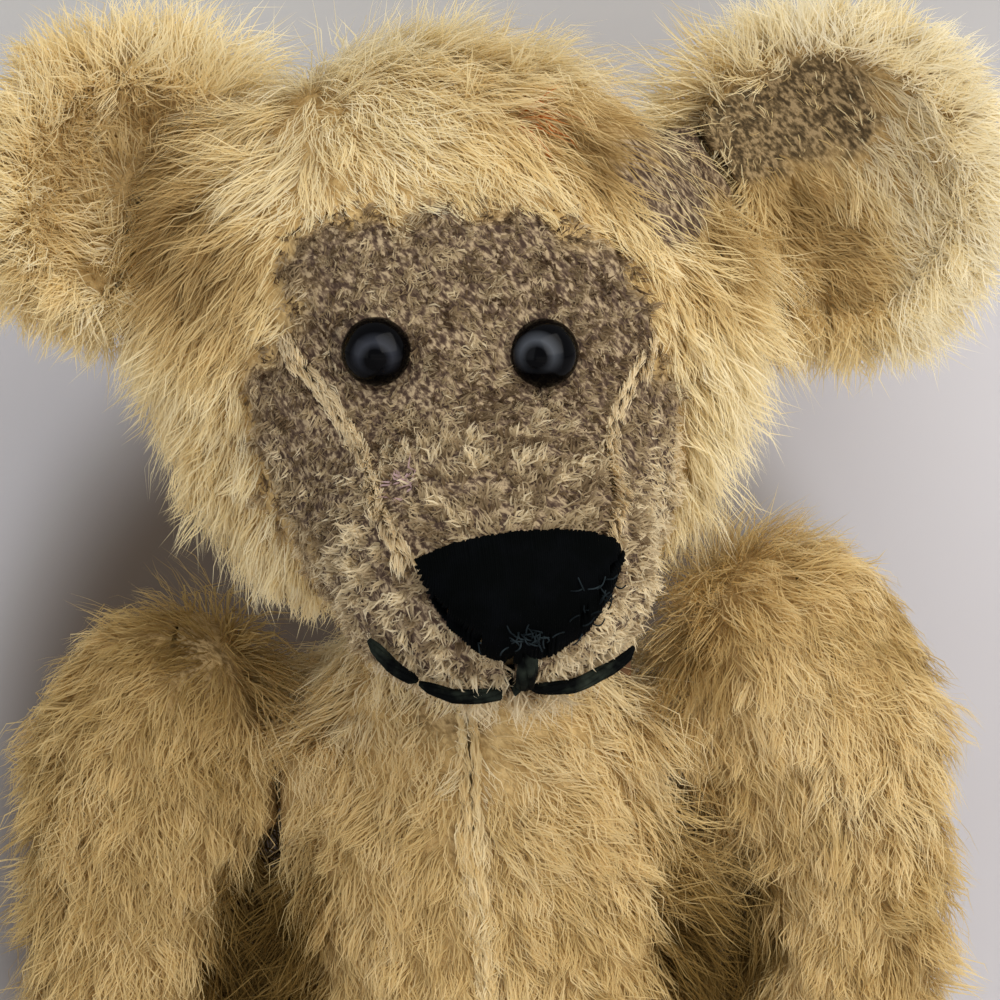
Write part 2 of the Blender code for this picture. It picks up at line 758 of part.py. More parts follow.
def stitch_points(corners, count):
    """Points of a thread laid on the face between corners given as (x, z)."""
    points = []
    for (x0, z0), (x1, z1) in zip(corners, corners[1:]):
        for number in range(count):
            share = number / count
            points.append((x0 + (x1 - x0) * share, z0 + (z1 - z0) * share))
    points.append(corners[-1])
    lift = THREAD + 2 * CLEARANCE
    return [face_point(x * MM, z * MM, lift) for x, z in points]


def build_mouth(bear, thread, parent):
    """Four long stitches: one down from the nose and three along the mouth."""
    stitches = {
        "philtrum_stitch": ((-1.3, 6.9), (-1.1, 5.8)),
        "mouth_stitch_left": ((0.6, 4.4), (5.2, 4.4), (9.6, 5.6)),
        "mouth_stitch_right": ((-2.9, 4.0), (-9.0, 4.2)),
        "mouth_stitch_right_corner": ((-10.4, 4.9), (-14.0, 7.6)),
    }
    for name, corners in stitches.items():
        points = stitch_points(corners, 3)
        wire_object(name, points, THREAD, thread, bear, parent)


# ---------------------------------------------------------------- assembly

def stand_on_origin(root, bear):
    """Centre the whole bear over the origin, with its seat on the ground."""
    bpy.context.view_layer.update()
    graph = bpy.context.evaluated_depsgraph_get()
    corners = []
    for item in bear.objects:
        if item.type == "EMPTY":
            continue
        shown = item.evaluated_get(graph)
        mesh = shown.to_mesh()
        corners += [shown.matrix_world @ vertex.co for vertex in mesh.vertices]
        shown.to_mesh_clear()
    for axis in (0, 1):
        values = [corner[axis] for corner in corners]
        root.location[axis] = -(min(values) + max(values)) / 2


def main():
    clear_scene()
    bear = make_collection("threadbare_teddy_bear")
    cutters = make_collection("cutters")

    mohair = make_material("Mohair plush", (0.52, 0.36, 0.17), 0.95)
    felt = make_material("Worn felt", (0.42, 0.31, 0.19), 0.95)
    filling = make_material("Wood wool", (0.62, 0.50, 0.30), 0.90)
    glass = make_material("Black glass", (0.005, 0.005, 0.006), 0.08)
    thread = make_material("Black thread", (0.008, 0.009, 0.009), 0.55)
    board = make_material("Hardboard", (0.25, 0.15, 0.08), 0.80)
    steel = make_material("Steel", (0.45, 0.45, 0.46), 0.35, 1.0)

    root = make_empty("bear", (0.0, 0.0, 0.0), bear)
    neck = make_empty("neck_joint", NECK, bear, HEAD_TURN)
    neck.parent = root

    torso = build_torso(bear, mohair, filling)
    for item in torso.values():
        item.parent = root
    head = build_head(bear, mohair, filling, neck)
    build_ears(bear, mohair, cutters, neck)
    build_eyes(bear, glass, cutters, neck, (head["head_gusset"], head["stuffing"]))
    build_nose(bear, thread, neck)
    build_mouth(bear, thread, neck)

    up = Vector((0.0, 0.0, 1.0))
    collections = (bear, cutters)
    joint = Joint("neck", "neck", NECK, up, collections, (board, steel), (neck, root))
    joint.build()
    joint.open_up((head["side_head_left"], head["side_head_right"]), head["stuffing"],
                  (torso["body_left"], torso["body_right"]), torso["stuffing"])

    for side in (1, -1):
        label = "left" if side > 0 else "right"
        shoulder = make_empty(f"shoulder_joint_{label}", SHOULDERS[side], bear)
        hip = make_empty(f"hip_joint_{label}", HIPS[side], bear, side * LEG_SPLAY)
        for kind, empty, name in (("arm", shoulder, "shoulder"), ("leg", hip, "hip")):
            empty.parent = root
            panel, stuffing = build_limb(kind, side, (mohair, felt, filling), bear, empty)
            out = Vector((float(side), 0.0, 0.0)) if kind == "arm" else hip_axis(side)
            joint = Joint(f"{name}_{label}", name, empty.location, out, collections,
                          (board, steel), (empty, root))
            joint.build()
            joint.open_up((panel,), stuffing, (torso[f"body_{label}"],), torso["stuffing"])

    for cutter in cutters.objects:
        if cutter.parent is None:
            cutter.parent = root
    stand_on_origin(root, bear)


main()
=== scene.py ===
"""How the threadbare teddy bear looks: its backing cloth, mohair pile, glass eyes and thread.

Lengths are in millimetres where a value is multiplied by MM, and in metres elsewhere.
The bear faces -Y, so its own left side is at +X.
"""
import json
import math

import bmesh
import bpy
import numpy as np
from mathutils import Matrix, Vector
from mathutils.bvhtree import BVHTree
from mathutils.kdtree import KDTree


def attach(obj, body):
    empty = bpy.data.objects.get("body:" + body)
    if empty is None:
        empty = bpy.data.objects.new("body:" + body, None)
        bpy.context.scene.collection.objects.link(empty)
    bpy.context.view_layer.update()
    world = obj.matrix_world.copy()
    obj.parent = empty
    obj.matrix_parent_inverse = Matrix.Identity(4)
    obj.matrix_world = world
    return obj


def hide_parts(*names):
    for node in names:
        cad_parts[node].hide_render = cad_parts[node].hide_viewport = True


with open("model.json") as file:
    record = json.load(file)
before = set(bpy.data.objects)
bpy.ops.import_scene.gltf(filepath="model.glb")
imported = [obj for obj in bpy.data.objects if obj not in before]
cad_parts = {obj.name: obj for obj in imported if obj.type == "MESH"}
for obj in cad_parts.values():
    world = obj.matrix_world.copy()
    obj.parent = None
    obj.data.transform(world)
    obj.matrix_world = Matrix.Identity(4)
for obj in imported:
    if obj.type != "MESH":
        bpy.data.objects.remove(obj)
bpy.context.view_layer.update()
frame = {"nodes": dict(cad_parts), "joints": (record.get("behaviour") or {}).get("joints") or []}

MM = 0.001
NODES = frame["nodes"]
JOINTS = {joint["name"]: joint for joint in frame["joints"]}
NECK = np.array(JOINTS["neck"]["pos_m"])
SIGNS = {"left": 1.0, "right": -1.0}

# The head is turned a little to the bear's own left.
HEAD_TURN = math.radians(8.5)

# How far the woven backing lies below the outer surface, in mm: in long pile, on the shorn
# face, under felt, in the ears, and where one part of the bear presses on another. No hair
# hangs lower than the flattened height above the floor.
PILE_DEPTH = 2.3
SHORN_DEPTH = 1.15
FELT_DEPTH = 0.7
EAR_DEPTH = 0.6
PRESSED_DEPTH = 0.12
FLATTENED = 0.15
CLOTH_THICKNESS = 0.7

# The gaps, in mm, between which another part of the bear presses on the cloth and on its
# hair: fully at the first, and not at all from the second. Nothing presses from far away.
CLOTH_PRESSED = (0.6, 3.2)
HAIR_PRESSED = (0.6, 2.4)
FAR_AWAY = 99.0

# Blades of hair stand for the pile, rooted a little below the cloth: their map holds tone
# across and root to tip along. Tones past the dyed one are stains, which stay as they are,
# and other tones vary up to the palest.
HAIR_MAP = "OFBake"
SHORN_MAP = "shorn"
ROOT_DEPTH = 0.15
TONE_WIDTH = 0.001
PALEST = 0.88
DYED = 0.93
STAIN = 0.97

# Hairs to the square millimetre: where the bear is looked at, elsewhere, in the stubble,
# along the seams and round the ears. A panel with fewer hairs than the fewest gets none.
FINE_DENSITY = 10.5
COARSE_DENSITY = 3.4
STUBBLE_DENSITY = 26.0
WELT_DENSITY = 40.0
FRINGE_DENSITY = 15.0
FEWEST_HAIRS = 60

# Where a seam is looked up along each of its edges.
RIM_STEPS = (0.1, 0.3, 0.5, 0.7, 0.9)

# The shorn face in the head's frame, as seen from the front: across and up, in mm.
SHORN_OUTLINE = (
    (-17.5, 41.0), (-12.0, 43.2), (-5.0, 43.6), (1.5, 43.0), (6.5, 41.2), (11.0, 38.0),
    (14.0, 33.5), (15.5, 29.0), (18.0, 24.0), (18.4, 18.5), (17.0, 12.0), (15.0, 6.0),
    (12.5, 1.0), (6.0, -2.5), (-1.0, -4.0), (-8.0, -2.5), (-14.5, 3.0), (-18.0, 9.5),
    (-21.0, 16.0), (-22.6, 22.0), (-22.0, 27.5), (-19.2, 32.5), (-19.6, 37.0),
)

# The bald band across the bear's left ear and the crown beside it, seen the same way, and
# how far along a hair the band is looked up, in mm.
BALD_BAND = (
    (10.8, 45.4), (14.5, 47.6), (19.5, 48.6), (24.5, 48.8), (27.5, 50.4), (30.0, 52.4),
    (33.6, 52.8), (37.2, 50.6), (38.8, 46.6), (39.6, 43.8), (34.0, 41.0), (28.0, 39.4),
    (22.0, 38.8), (15.5, 39.0), (11.8, 42.4),
)
BAND_REACHES = (0.0, 1.8, 3.6, 5.4, 7.2)

# Where the pile is painted darker as shade in the folds where the ears join the head: across, up
# and how far it reaches.
SHADED_EAR_FOLDS = (
    (-24.6, 39.4, 8.5), (20.5, 36.5, 5.5), (29.0, 31.5, 4.5), (30.5, 37.0, 4.5),
    (34.6, 33.6, 4.5), (38.4, 30.4, 4.5),
)
FOLD_SQUASH = (1.0, 0.2, 0.65)

# Places in the head's frame, in mm, and how far each reaches: the stains, and where the
# stubble is paler. The streak's place is squashed upwards, as is the worn hollow's.
RUST_STAIN = ((3.6, -14.4, 51.6), 3.4)
OCHRE_STAIN = ((9.5, -14.2, 49.2), 9.0)
LILAC_STREAK = ((-10.7, -33.6, 10.2), 2.4)
STREAK_SQUASH = (1.0, 1.0, 0.45)
ROUND_EYES = (((-11.4, -27.0, 31.8), 5.2), ((3.3, -27.8, 31.2), 5.0))
BELOW_EYES = (((3.0, -29.0, 27.4), 4.6), ((-10.0, -28.5, 28.0), 4.0))
CHIN = ((-1.5, -33.0, 0.5), 9.0)
NOSE_TIP = (-1.5, -40.0, 14.0)
WORN_HOLLOW = ((-27.0, -1.5, 25.0), 5.0)
HOLLOW_SQUASH = (1.0, 0.3, 0.6)

# The strip on the bear's left of the chest seam that is worn bare, in mm, squashed.
WORN_STRIP = ((-1.9, -4.5, 24.4), 2.6)
STRIP_SQUASH = (1.0, 0.3, 0.28)

# Where lines of sight to the face start, in mm in front of the neck, and how far aside they
# are tried again.
SIGHT_START = -70.0
SIGHT_STEPS = (0.0, 0.1, -0.1, 0.3, -0.3)

# The upper and the lower edge of the nose's stitches, across and up.
NOSE_TOP = (
    (-10.4, 16.7), (-8.6, 17.7), (-6.0, 18.6), (-2.4, 19.1), (2.0, 19.1), (5.2, 18.5),
    (7.0, 17.6), (7.9, 16.3),
)
NOSE_FOOT = (
    (-10.4, 16.3), (-9.4, 13.9), (-7.6, 11.0), (-5.2, 8.8), (-2.4, 7.7), (1.4, 8.3),
    (4.2, 10.2), (6.6, 13.0), (7.9, 16.0),
)
NOSE_THREADS = 96
NOSE_THREAD_RADIUS = 0.2
NOSE_SWELL = 1.35

# Where the nose's threads are frayed: across, up and how many ends there are.
FRAYED_PLACES = ((-1.0, 10.6, 26), (5.9, 14.0, 12), (4.0, 11.6, 8))
FRAY_RADIUS = 0.07
FRAY_STEP = 0.24

# The mouth's stitches, each a run of points across and up, and how thick they are.
MOUTH_STITCHES = {
    "philtrum_stitch": ((-1.0, 9.2), (-0.9, 7.0), (-0.7, 4.1)),
    "mouth_stitch_left": ((-0.2, 4.3), (2.8, 4.2), (5.2, 4.4), (7.6, 4.9), (9.8, 5.8)),
    "mouth_stitch_right": ((-0.9, 4.3), (-4.0, 3.7), (-7.0, 3.8), (-9.6, 4.5)),
    "mouth_stitch_right_corner": ((-9.9, 4.8), (-12.0, 6.2), (-13.9, 8.4)),
}
STITCH_RADIUS = 0.66
PHILTRUM_RADIUS = 0.95
STITCH_STEP = 0.6
STITCH_PLIES = 5
PLY_TURN = 0.22

# Each eye's painted reflection, a dull arch of light: how far aside of the eye's middle it lies,
# and its colour.
EYE_REFLECTIONS = {"eye_left": (-1.5, (62, 65, 70)), "eye_right": (0.3, (42, 44, 50))}
REFLECTION_RADIUS = 1.7
EYE_RADIUS = 3.1
EYE_HEIGHT = 2.7
EYE_BACK = -1.2
BARE_ROUND_EYE = 0.15

# The nodes of cloth that each body shows, which press on the other bodies.
CLOTH_OF = {
    "head": ("head_gusset", "side_head_left", "side_head_right"),
    "torso": ("body_left", "body_right"),
    "arm_left": ("arm_outer_left", "arm_inner_left", "paw_pad_left"),
    "arm_right": ("arm_outer_right", "arm_inner_right", "paw_pad_right"),
    "leg_left": ("leg_outer_left", "leg_inner_left", "foot_pad_left"),
    "leg_right": ("leg_outer_right", "leg_inner_right", "foot_pad_right"),
}
EARS = ("ear_front_left", "ear_front_right", "ear_back_left", "ear_back_right")

# Colours as they look on a screen. The hair's go from its darkest tone to its palest, and in
# the head and face on to the dyed ones; the others are what a finish goes through.
HEAD_TONES = (
    (0.00, (156, 127, 78)), (0.22, (210, 184, 130)), (0.45, (240, 220, 168)),
    (0.68, (252, 240, 202)), (0.90, (255, 249, 228)), (0.93, (214, 128, 66)),
    (1.00, (216, 132, 70)),
)
FACE_TONES = (
    (0.00, (84, 66, 50)), (0.25, (130, 110, 84)), (0.50, (176, 156, 124)),
    (0.72, (218, 200, 164)), (0.90, (250, 236, 202)), (0.93, (206, 176, 178)),
    (1.00, (212, 182, 184)),
)
BODY_TONES = (
    (0.00, (132, 106, 58)), (0.22, (192, 165, 108)), (0.45, (230, 207, 152)),
    (0.68, (246, 229, 184)), (0.90, (252, 242, 210)), (1.00, (254, 245, 216)),
)
MATTED_ROOTS = ((150, 122, 76), (196, 168, 116))
CLIPPED_FACE = ((62, 48, 39), (100, 83, 66), (160, 141, 112))
WORN_EAR = ((70, 58, 40), (108, 91, 64), (156, 135, 100))
WORN_CHEST = ((106, 86, 54), (142, 118, 80), (170, 146, 104))
WHITE = (1.0, 1.0, 1.0, 1.0)
BLACK = (0.0, 0.0, 0.0, 1.0)

VIEW_TILT = math.radians(16.0)
VIEW_DISTANCE = 340.0 * MM
VIEW_TARGET = NECK + np.array([3.0, -21.0, 16.1]) * MM
LENS_MM = 135.2

# The backdrop, and the upright oval of shade on it, in metres: its middle across and up, how
# much taller it is than wide, and where its soft edge starts and ends.
BACKDROP_BEHIND = 0.062
SHADE_MIDDLE = (-0.010, 0.050)
SHADE_TALL = 1.3
SHADE_INNER = 0.040
SHADE_OUTER = 0.0565

RANDOM = np.random.default_rng(7)


# ---------------------------------------------------------------- colour and materials

def tint(red, green, blue):
    """A colour given as it looks on a screen, from 0 to 255, as the renderer's light."""
    parts = []
    for value in (red, green, blue):
        share = value / 255.0
        parts.append(share / 12.92 if share <= 0.04045 else ((share + 0.055) / 1.055) ** 2.4)
    return (*parts, 1.0)


class Finish:
    """A material being built, with short calls for its nodes and links."""

    def __init__(self, name):
        self.material = bpy.data.materials.new(name)
        self.material.use_nodes = True
        self.nodes = self.material.node_tree.nodes
        self.links = self.material.node_tree.links
        self.shader = self.nodes["Principled BSDF"]

    def feed(self, value, socket):
        """Link a node's output to a socket, or give the socket a plain value."""
        if isinstance(value, bpy.types.NodeSocket):
            self.links.new(value, socket)
        else:
            socket.default_value = value

    def add(self, kind, inputs=None, **settings):
        """A new node with its settings, and its inputs fed by their names or numbers."""
        node = self.nodes.new("ShaderNode" + kind)
        for name, value in settings.items():
            setattr(node, name, value)
        for name, value in (inputs or {}).items():
            self.feed(value, node.inputs[name])
        return node

    def place(self):
        return self.add("TexCoord").outputs["Object"]

    def axis(self, name, vector=None):
        """One coordinate of a vector, or of the place on the object."""
        vector = self.place() if vector is None else vector
        return self.add("SeparateXYZ", {"Vector": vector}).outputs[name]

    def share(self, value, low, high, **settings):
        """How far a value is between two limits, from 0 to 1."""
        inputs = {"Value": value, "From Min": low, "From Max": high}
        return self.add("MapRange", inputs, **settings).outputs["Result"]

    def ramp(self, factor, stops):
        """Colours along a value, from (place, colour) pairs."""
        node = self.add("ValToRGB", {"Fac": factor})
        elements = node.color_ramp.elements
        while len(elements) < len(stops):
            elements.new(0.5)
        for element, (place, colour) in zip(elements, stops):
            element.position = place
            element.color = colour
        return node.outputs["Color"]

    def tints(self, factor, stops):
        """The same, with the colours as they look on a screen."""
        return self.ramp(factor, [(place, tint(*colour)) for place, colour in stops])

    def mix(self, first, second, factor=1.0, blend="MIX"):
        """Two colours blended by a share; the node's colours are inputs 6 and 7, output 2."""
        inputs = {0: factor, 6: first, 7: second}
        return self.add("Mix", inputs, data_type="RGBA", blend_type=blend).outputs[2]

    def multiply(self, first, second):
        return self.mix(first, second, blend="MULTIPLY")

    def noise(self, scale, detail, roughness, vector=None):
        inputs = {"Scale": scale, "Detail": detail, "Roughness": roughness,
                  "Vector": self.place() if vector is None else vector}
        return self.add("TexNoise", inputs).outputs["Fac"]

    def bump(self, height, strength, distance):
        inputs = {"Strength": strength, "Distance": distance, "Height": height}
        self.feed(self.add("Bump", inputs).outputs["Normal"], self.shader.inputs["Normal"])

    def set(self, colour, **values):
        """The shader's colour, and its other values by their names."""
        for name, value in {"Base Color": colour, **values}.items():
            self.feed(value, self.shader.inputs[name.replace("_", " ")])

    def join(self, other, factor):
        """Blend another shader into the material's own by a share."""
        inputs = {0: factor, 1: self.shader.outputs["BSDF"], 2: other.outputs["BSDF"]}
        both = self.add("MixShader", inputs).outputs["Shader"]
        self.feed(both, self.nodes["Material Output"].inputs["Surface"])


def hair_finish(name, tones, root_shade=0.66):
    """Mohair: tone across the hair map, darker towards the roots along it as painted shade, half
    translucent.
    """
    finish = Finish(name)
    hair_map = finish.add("UVMap", uv_map=HAIR_MAP).outputs["UV"]
    tone = finish.tints(finish.axis("X", hair_map), tones)
    root = (root_shade, root_shade * 0.92, root_shade * 0.80, 1.0)
    stops = [(0.0, root), (0.35, (0.90, 0.885, 0.85, 1.0)), (1.0, WHITE)]
    colour = finish.multiply(tone, finish.ramp(finish.axis("Y", hair_map), stops))
    finish.set(colour, Roughness=0.72, Specular_IOR_Level=0.0)
    finish.join(finish.add("BsdfTranslucent", {"Color": colour}), 0.5)
    return finish.material


def backing_finish(name, shorn_tones):
    """Cotton backing with matted roots of pile in it, and clipped tufts where it is shorn."""
    finish = Finish(name)
    slant = finish.add("Mapping", {
        "Vector": finish.place(), "Rotation": (0.0, math.radians(50.0), 0.0),
        "Scale": (2.2, 1.0, 1.0)}, vector_type="TEXTURE")
    tufts = finish.noise(2300.0, 2.0, 0.6, slant.outputs["Vector"])
    soiled = finish.mix(tufts, finish.noise(300.0, 4.0, 0.6), 0.4)
    under = finish.tints(soiled, list(zip((0.36, 0.64), MATTED_ROOTS)))
    clipped = finish.tints(tufts, list(zip((0.38, 0.5, 0.62), shorn_tones)))
    shorn_here = finish.add("Attribute", attribute_name=SHORN_MAP).outputs["Fac"]
    finish.set(finish.mix(under, clipped, shorn_here), Roughness=0.92, Specular_IOR_Level=0.12)
    finish.bump(tufts, 0.6, 0.0003)
    return finish.material


def felt_finish(name):
    """Worn felt for the paws and soles: matted fibres with soiled patches."""
    finish = Finish(name)
    fibres = finish.noise(900.0, 6.0, 0.7)
    base = finish.tints(
        finish.noise(140.0, 3.0, 0.6), [(0.3, (118, 92, 60)), (0.7, (158, 130, 90))])
    streaks = finish.ramp(fibres, [(0.35, (0.66, 0.64, 0.6, 1.0)), (0.65, WHITE)])
    finish.set(finish.multiply(base, streaks), Roughness=0.95, Specular_IOR_Level=0.12)
    finish.bump(fibres, 0.7, 0.0003)
    return finish.material


def glass_finish(gleams):
    """Black glass, with a painted reflection: a dull arch of light round a place on each eye."""
    finish = Finish("black_glass")
    radius = REFLECTION_RADIUS * MM
    colour = tint(1, 1, 2)
    for centre, reflection_tint in gleams:
        gap = finish.add("VectorMath", {0: finish.place(), 1: centre}, operation="DISTANCE")
        ring = finish.ramp(finish.share(gap.outputs["Value"], 0.0, 2.0 * radius),
                           [(0.27, BLACK), (0.45, WHITE), (0.72, BLACK)])
        above = finish.share(
            finish.axis("Z"), centre[2] - 0.9 * radius, centre[2] + 0.3 * radius)
        colour = finish.mix(colour, reflection_tint, finish.multiply(ring, above))
    finish.set(colour, Roughness=0.13, IOR=1.5, Specular_IOR_Level=0.07)
    return finish.material


def thread_finish(name, dark, light):
    """Black embroidery thread with a soft lustre, lighter grey-green in patches."""
    finish = Finish(name)
    colour = finish.tints(finish.noise(330.0, 4.0, 0.6), [(0.45, dark), (0.8, light)])
    finish.set(colour, Roughness=0.85, Specular_IOR_Level=0.04)
    finish.bump(finish.noise(2600.0, 3.0, 0.6), 0.4, 0.0001)
    return finish.material


def plain_finish(name, first, second, scale, roughness, metallic=0.0):
    """Hardboard, steel or wood wool, hidden inside the bear."""
    finish = Finish(name)
    grain = finish.noise(scale, 5.0, 0.6)
    colour = finish.tints(grain, [(0.3, first), (0.7, second)])
    finish.set(colour, Roughness=roughness, Metallic=metallic)
    finish.bump(grain, 0.3, 0.0002)
    return finish.material


# ---------------------------------------------------------------- numbers over many points

def unit(vectors):
    return vectors / np.maximum(np.linalg.norm(vectors, axis=1, keepdims=True), 1e-12)


def along_surface(vectors, out):
    """The part of some directions that runs along the surface."""
    return vectors - out * (vectors * out).sum(1, keepdims=True)


def each(x, y, z):
    """Directions from their three parts, each of them an array or one number for all."""
    return np.stack(np.broadcast_arrays(x, y, z), 1)


def blend(first, second, share):
    """Between two directions, or arrays of them, by a share for each."""
    share = share[:, None]
    return np.asarray(first) * (1.0 - share) + np.asarray(second) * share


def ease(values, low, high):
    """From 0 at low to 1 at high, with a soft start and end."""
    share = np.clip((values - low) / (high - low), 0.0, 1.0)
    return share * share * (3.0 - 2.0 * share)


def between(values, start, full, fading, end):
    """From 0 at the start to 1 where full, and from there, once fading, to 0 at the end."""
    return ease(values, start, full) * (1.0 - ease(values, fading, end))


def cloud(points, size, seed):
    """Smooth noise from 0 to 1 in lumps of about a size, both in millimetres."""
    place = points / size + seed * 13.7
    cell = np.floor(place).astype(np.int64)
    share = place - cell
    share = share * share * (3.0 - 2.0 * share)
    total = np.zeros(len(points))
    for corner in range(8):
        step = np.array([corner & 1, corner >> 1 & 1, corner >> 2])
        x, y, z = (cell + step + 4096).T.astype(np.uint32)
        mixed = x * np.uint32(374761393) + y * np.uint32(668265263) + z * np.uint32(2246822519)
        mixed = (mixed ^ (mixed >> np.uint32(13))) * np.uint32(1274126177)
        mixed = (mixed ^ (mixed >> np.uint32(16))) * np.uint32(2654435761)
        height = (mixed >> np.uint32(8)).astype(float) / 2.0 ** 24
        total += height * np.prod(np.where(step, share, 1.0 - share), axis=1)
    return total


def rough(points, *layers):
    """Noise about zero in layers, each with its size in millimetres, seed and height."""
    return sum((cloud(points, size, seed) - 0.5) * height for size, seed, height in layers)


def depth_inside(across, up, outline):
    """How far points lie inside a closed outline, below zero outside it."""
    corners = np.array(outline)
    nearest = np.full(len(across), np.inf)
    inside = np.zeros(len(across), bool)
    places = np.stack([across, up], 1)
    for start, end in zip(corners, np.roll(corners, -1, axis=0)):
        side = end - start
        share = np.clip((places - start) @ side / (side @ side), 0.0, 1.0)
        gap = np.linalg.norm(places - start - share[:, None] * side, axis=1)
        nearest = np.minimum(nearest, gap)
        crosses = (start[1] > up) != (end[1] > up)
        rise = side[1] if abs(side[1]) > 1e-9 else 1e-9
        inside ^= crosses & (across < start[0] + (up - start[1]) / rise * side[0])
    return np.where(inside, nearest, -nearest)


def spot(points, centre, reach):
    """1 at a place and fading to 0 at a distance from it."""
    gap = np.linalg.norm(points - centre, axis=1)
    return 1.0 - ease(gap, 0.3 * reach, reach)


def spots(points, places):
    """The strongest of several spots, each a centre and a reach."""
    return np.maximum.reduce([spot(points, *place) for place in places])


def turned(directions, angle):
    """Directions turned about the upright axis."""
    x, y, z = np.atleast_2d(directions).T
    cosine, sine = math.cos(angle), math.sin(angle)
    return np.stack([x * cosine - y * sine, x * sine + y * cosine, z], 1)


def in_head(points):
    """World points in the head's own frame, in millimetres from the neck joint."""
    return turned((points - NECK) / MM, -HEAD_TURN)


def from_head(directions):
    """Directions in the head's own frame, turned into the world's."""
    return turned(directions, HEAD_TURN)


# ---------------------------------------------------------------- cloth skins

def add_object(name, data):
    """A new object in the scene."""
    item = bpy.data.objects.new(name, data)
    bpy.context.scene.collection.objects.link(item)
    return item


def made_mesh(item):
    """The mesh that an object's modifiers, or a curve's thickness, make."""
    bpy.context.view_layer.update()
    graph = bpy.context.evaluated_depsgraph_get()
    return bpy.data.meshes.new_from_object(item.evaluated_get(graph))


def as_object(name, work):
    """A working mesh as an object of the scene."""
    mesh = bpy.data.meshes.new(name)
    work.to_mesh(mesh)
    work.free()
    return add_object(name, mesh)


def show(item, material, body, node=None):
    """Colour a piece and have it ride on a body, in place of a CAD node where one is given."""
    item.data.materials.clear()
    item.data.materials.append(material)
    item.data.shade_smooth()
    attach(item, body)
    if node:
        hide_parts(node)


def apply_modifiers(item):
    """Keep the mesh that a piece's modifiers make."""
    mesh = made_mesh(item)
    item.modifiers.clear()
    item.data = mesh


def subdivide(item, levels, kind):
    """Round a mesh, or only cut it finer, for good."""
    rounding = item.modifiers.new("Rounding", "SUBSURF")
    rounding.levels = rounding.render_levels = levels
    rounding.subdivision_type = kind
    apply_modifiers(item)


def read(items, name, width, kind=float):
    """A value of each of some mesh elements, as an array with a row for each of them."""
    values = np.empty(len(items) * width, kind)
    items.foreach_get(name, values)
    return values.reshape(-1, width)


def write(items, name, values, kind=np.float32):
    """Set a value of each of some mesh elements."""
    items.foreach_set(name, np.asarray(values, kind).ravel())


def vertices_of(mesh):
    """The places of a mesh's vertices and the way out of it at each."""
    return read(mesh.vertices, "co", 3), read(mesh.vertex_normals, "vector", 3)


def surface_of(*nodes):
    """A tree of the CAD solids' faces, to find the nearest point on them."""
    places, faces = [], []
    for node in nodes:
        mesh = NODES[node].data
        base = len(places)
        places += [vertex.co.copy() for vertex in mesh.vertices]
        faces += [[base + index for index in face.vertices] for face in mesh.polygons]
    return BVHTree.FromPolygons(places, faces)


def distances(tree, points):
    """How far points lie from a surface, in millimetres."""
    return np.array([tree.find_nearest(place)[3] for place in points]) / MM


def open_rims(work):
    """The open edges of a sheet, sorted into the rims that they make."""
    left = {edge for edge in work.edges if edge.is_boundary}
    rims = []
    while left:
        rim, front = [], [left.pop()]
        while front:
            edge = front.pop()
            rim.append(edge)
            beside = {other for vertex in edge.verts for other in vertex.link_edges} & left
            left -= beside
            front += beside
        rims.append(rim)
    return rims


def outer_sheet(node, core, gap, facing):
    """The outer side of a cloth panel: further than a gap from its core, and facing off it.

    Its holes, for an eye or a pin, are closed, and only its outer rim stays open.
    """
    work = bmesh.new()
    work.from_mesh(NODES[node].data)
    bmesh.ops.remove_doubles(work, verts=work.verts[:], dist=1e-5)
    bmesh.ops.recalc_face_normals(work, faces=work.faces[:])
    spare = []
    for face in work.faces:
        centre = face.calc_center_median()
        away = centre - core.find_nearest(centre)[0]
        if away.length < gap * MM or face.normal.dot(away.normalized()) < facing:
            spare.append(face)
    bmesh.ops.delete(work, geom=spare, context="FACES")
    rims = open_rims(work)
    outer = max(rims, key=lambda rim: sum(edge.calc_length() for edge in rim))
    holes = [edge for rim in rims if rim is not outer for edge in rim]
    bmesh.ops.holes_fill(work, edges=holes, sides=0)
    bmesh.ops.join_triangles(
        work, faces=work.faces[:], angle_face_threshold=0.7, angle_shape_threshold=1.2)
    return work


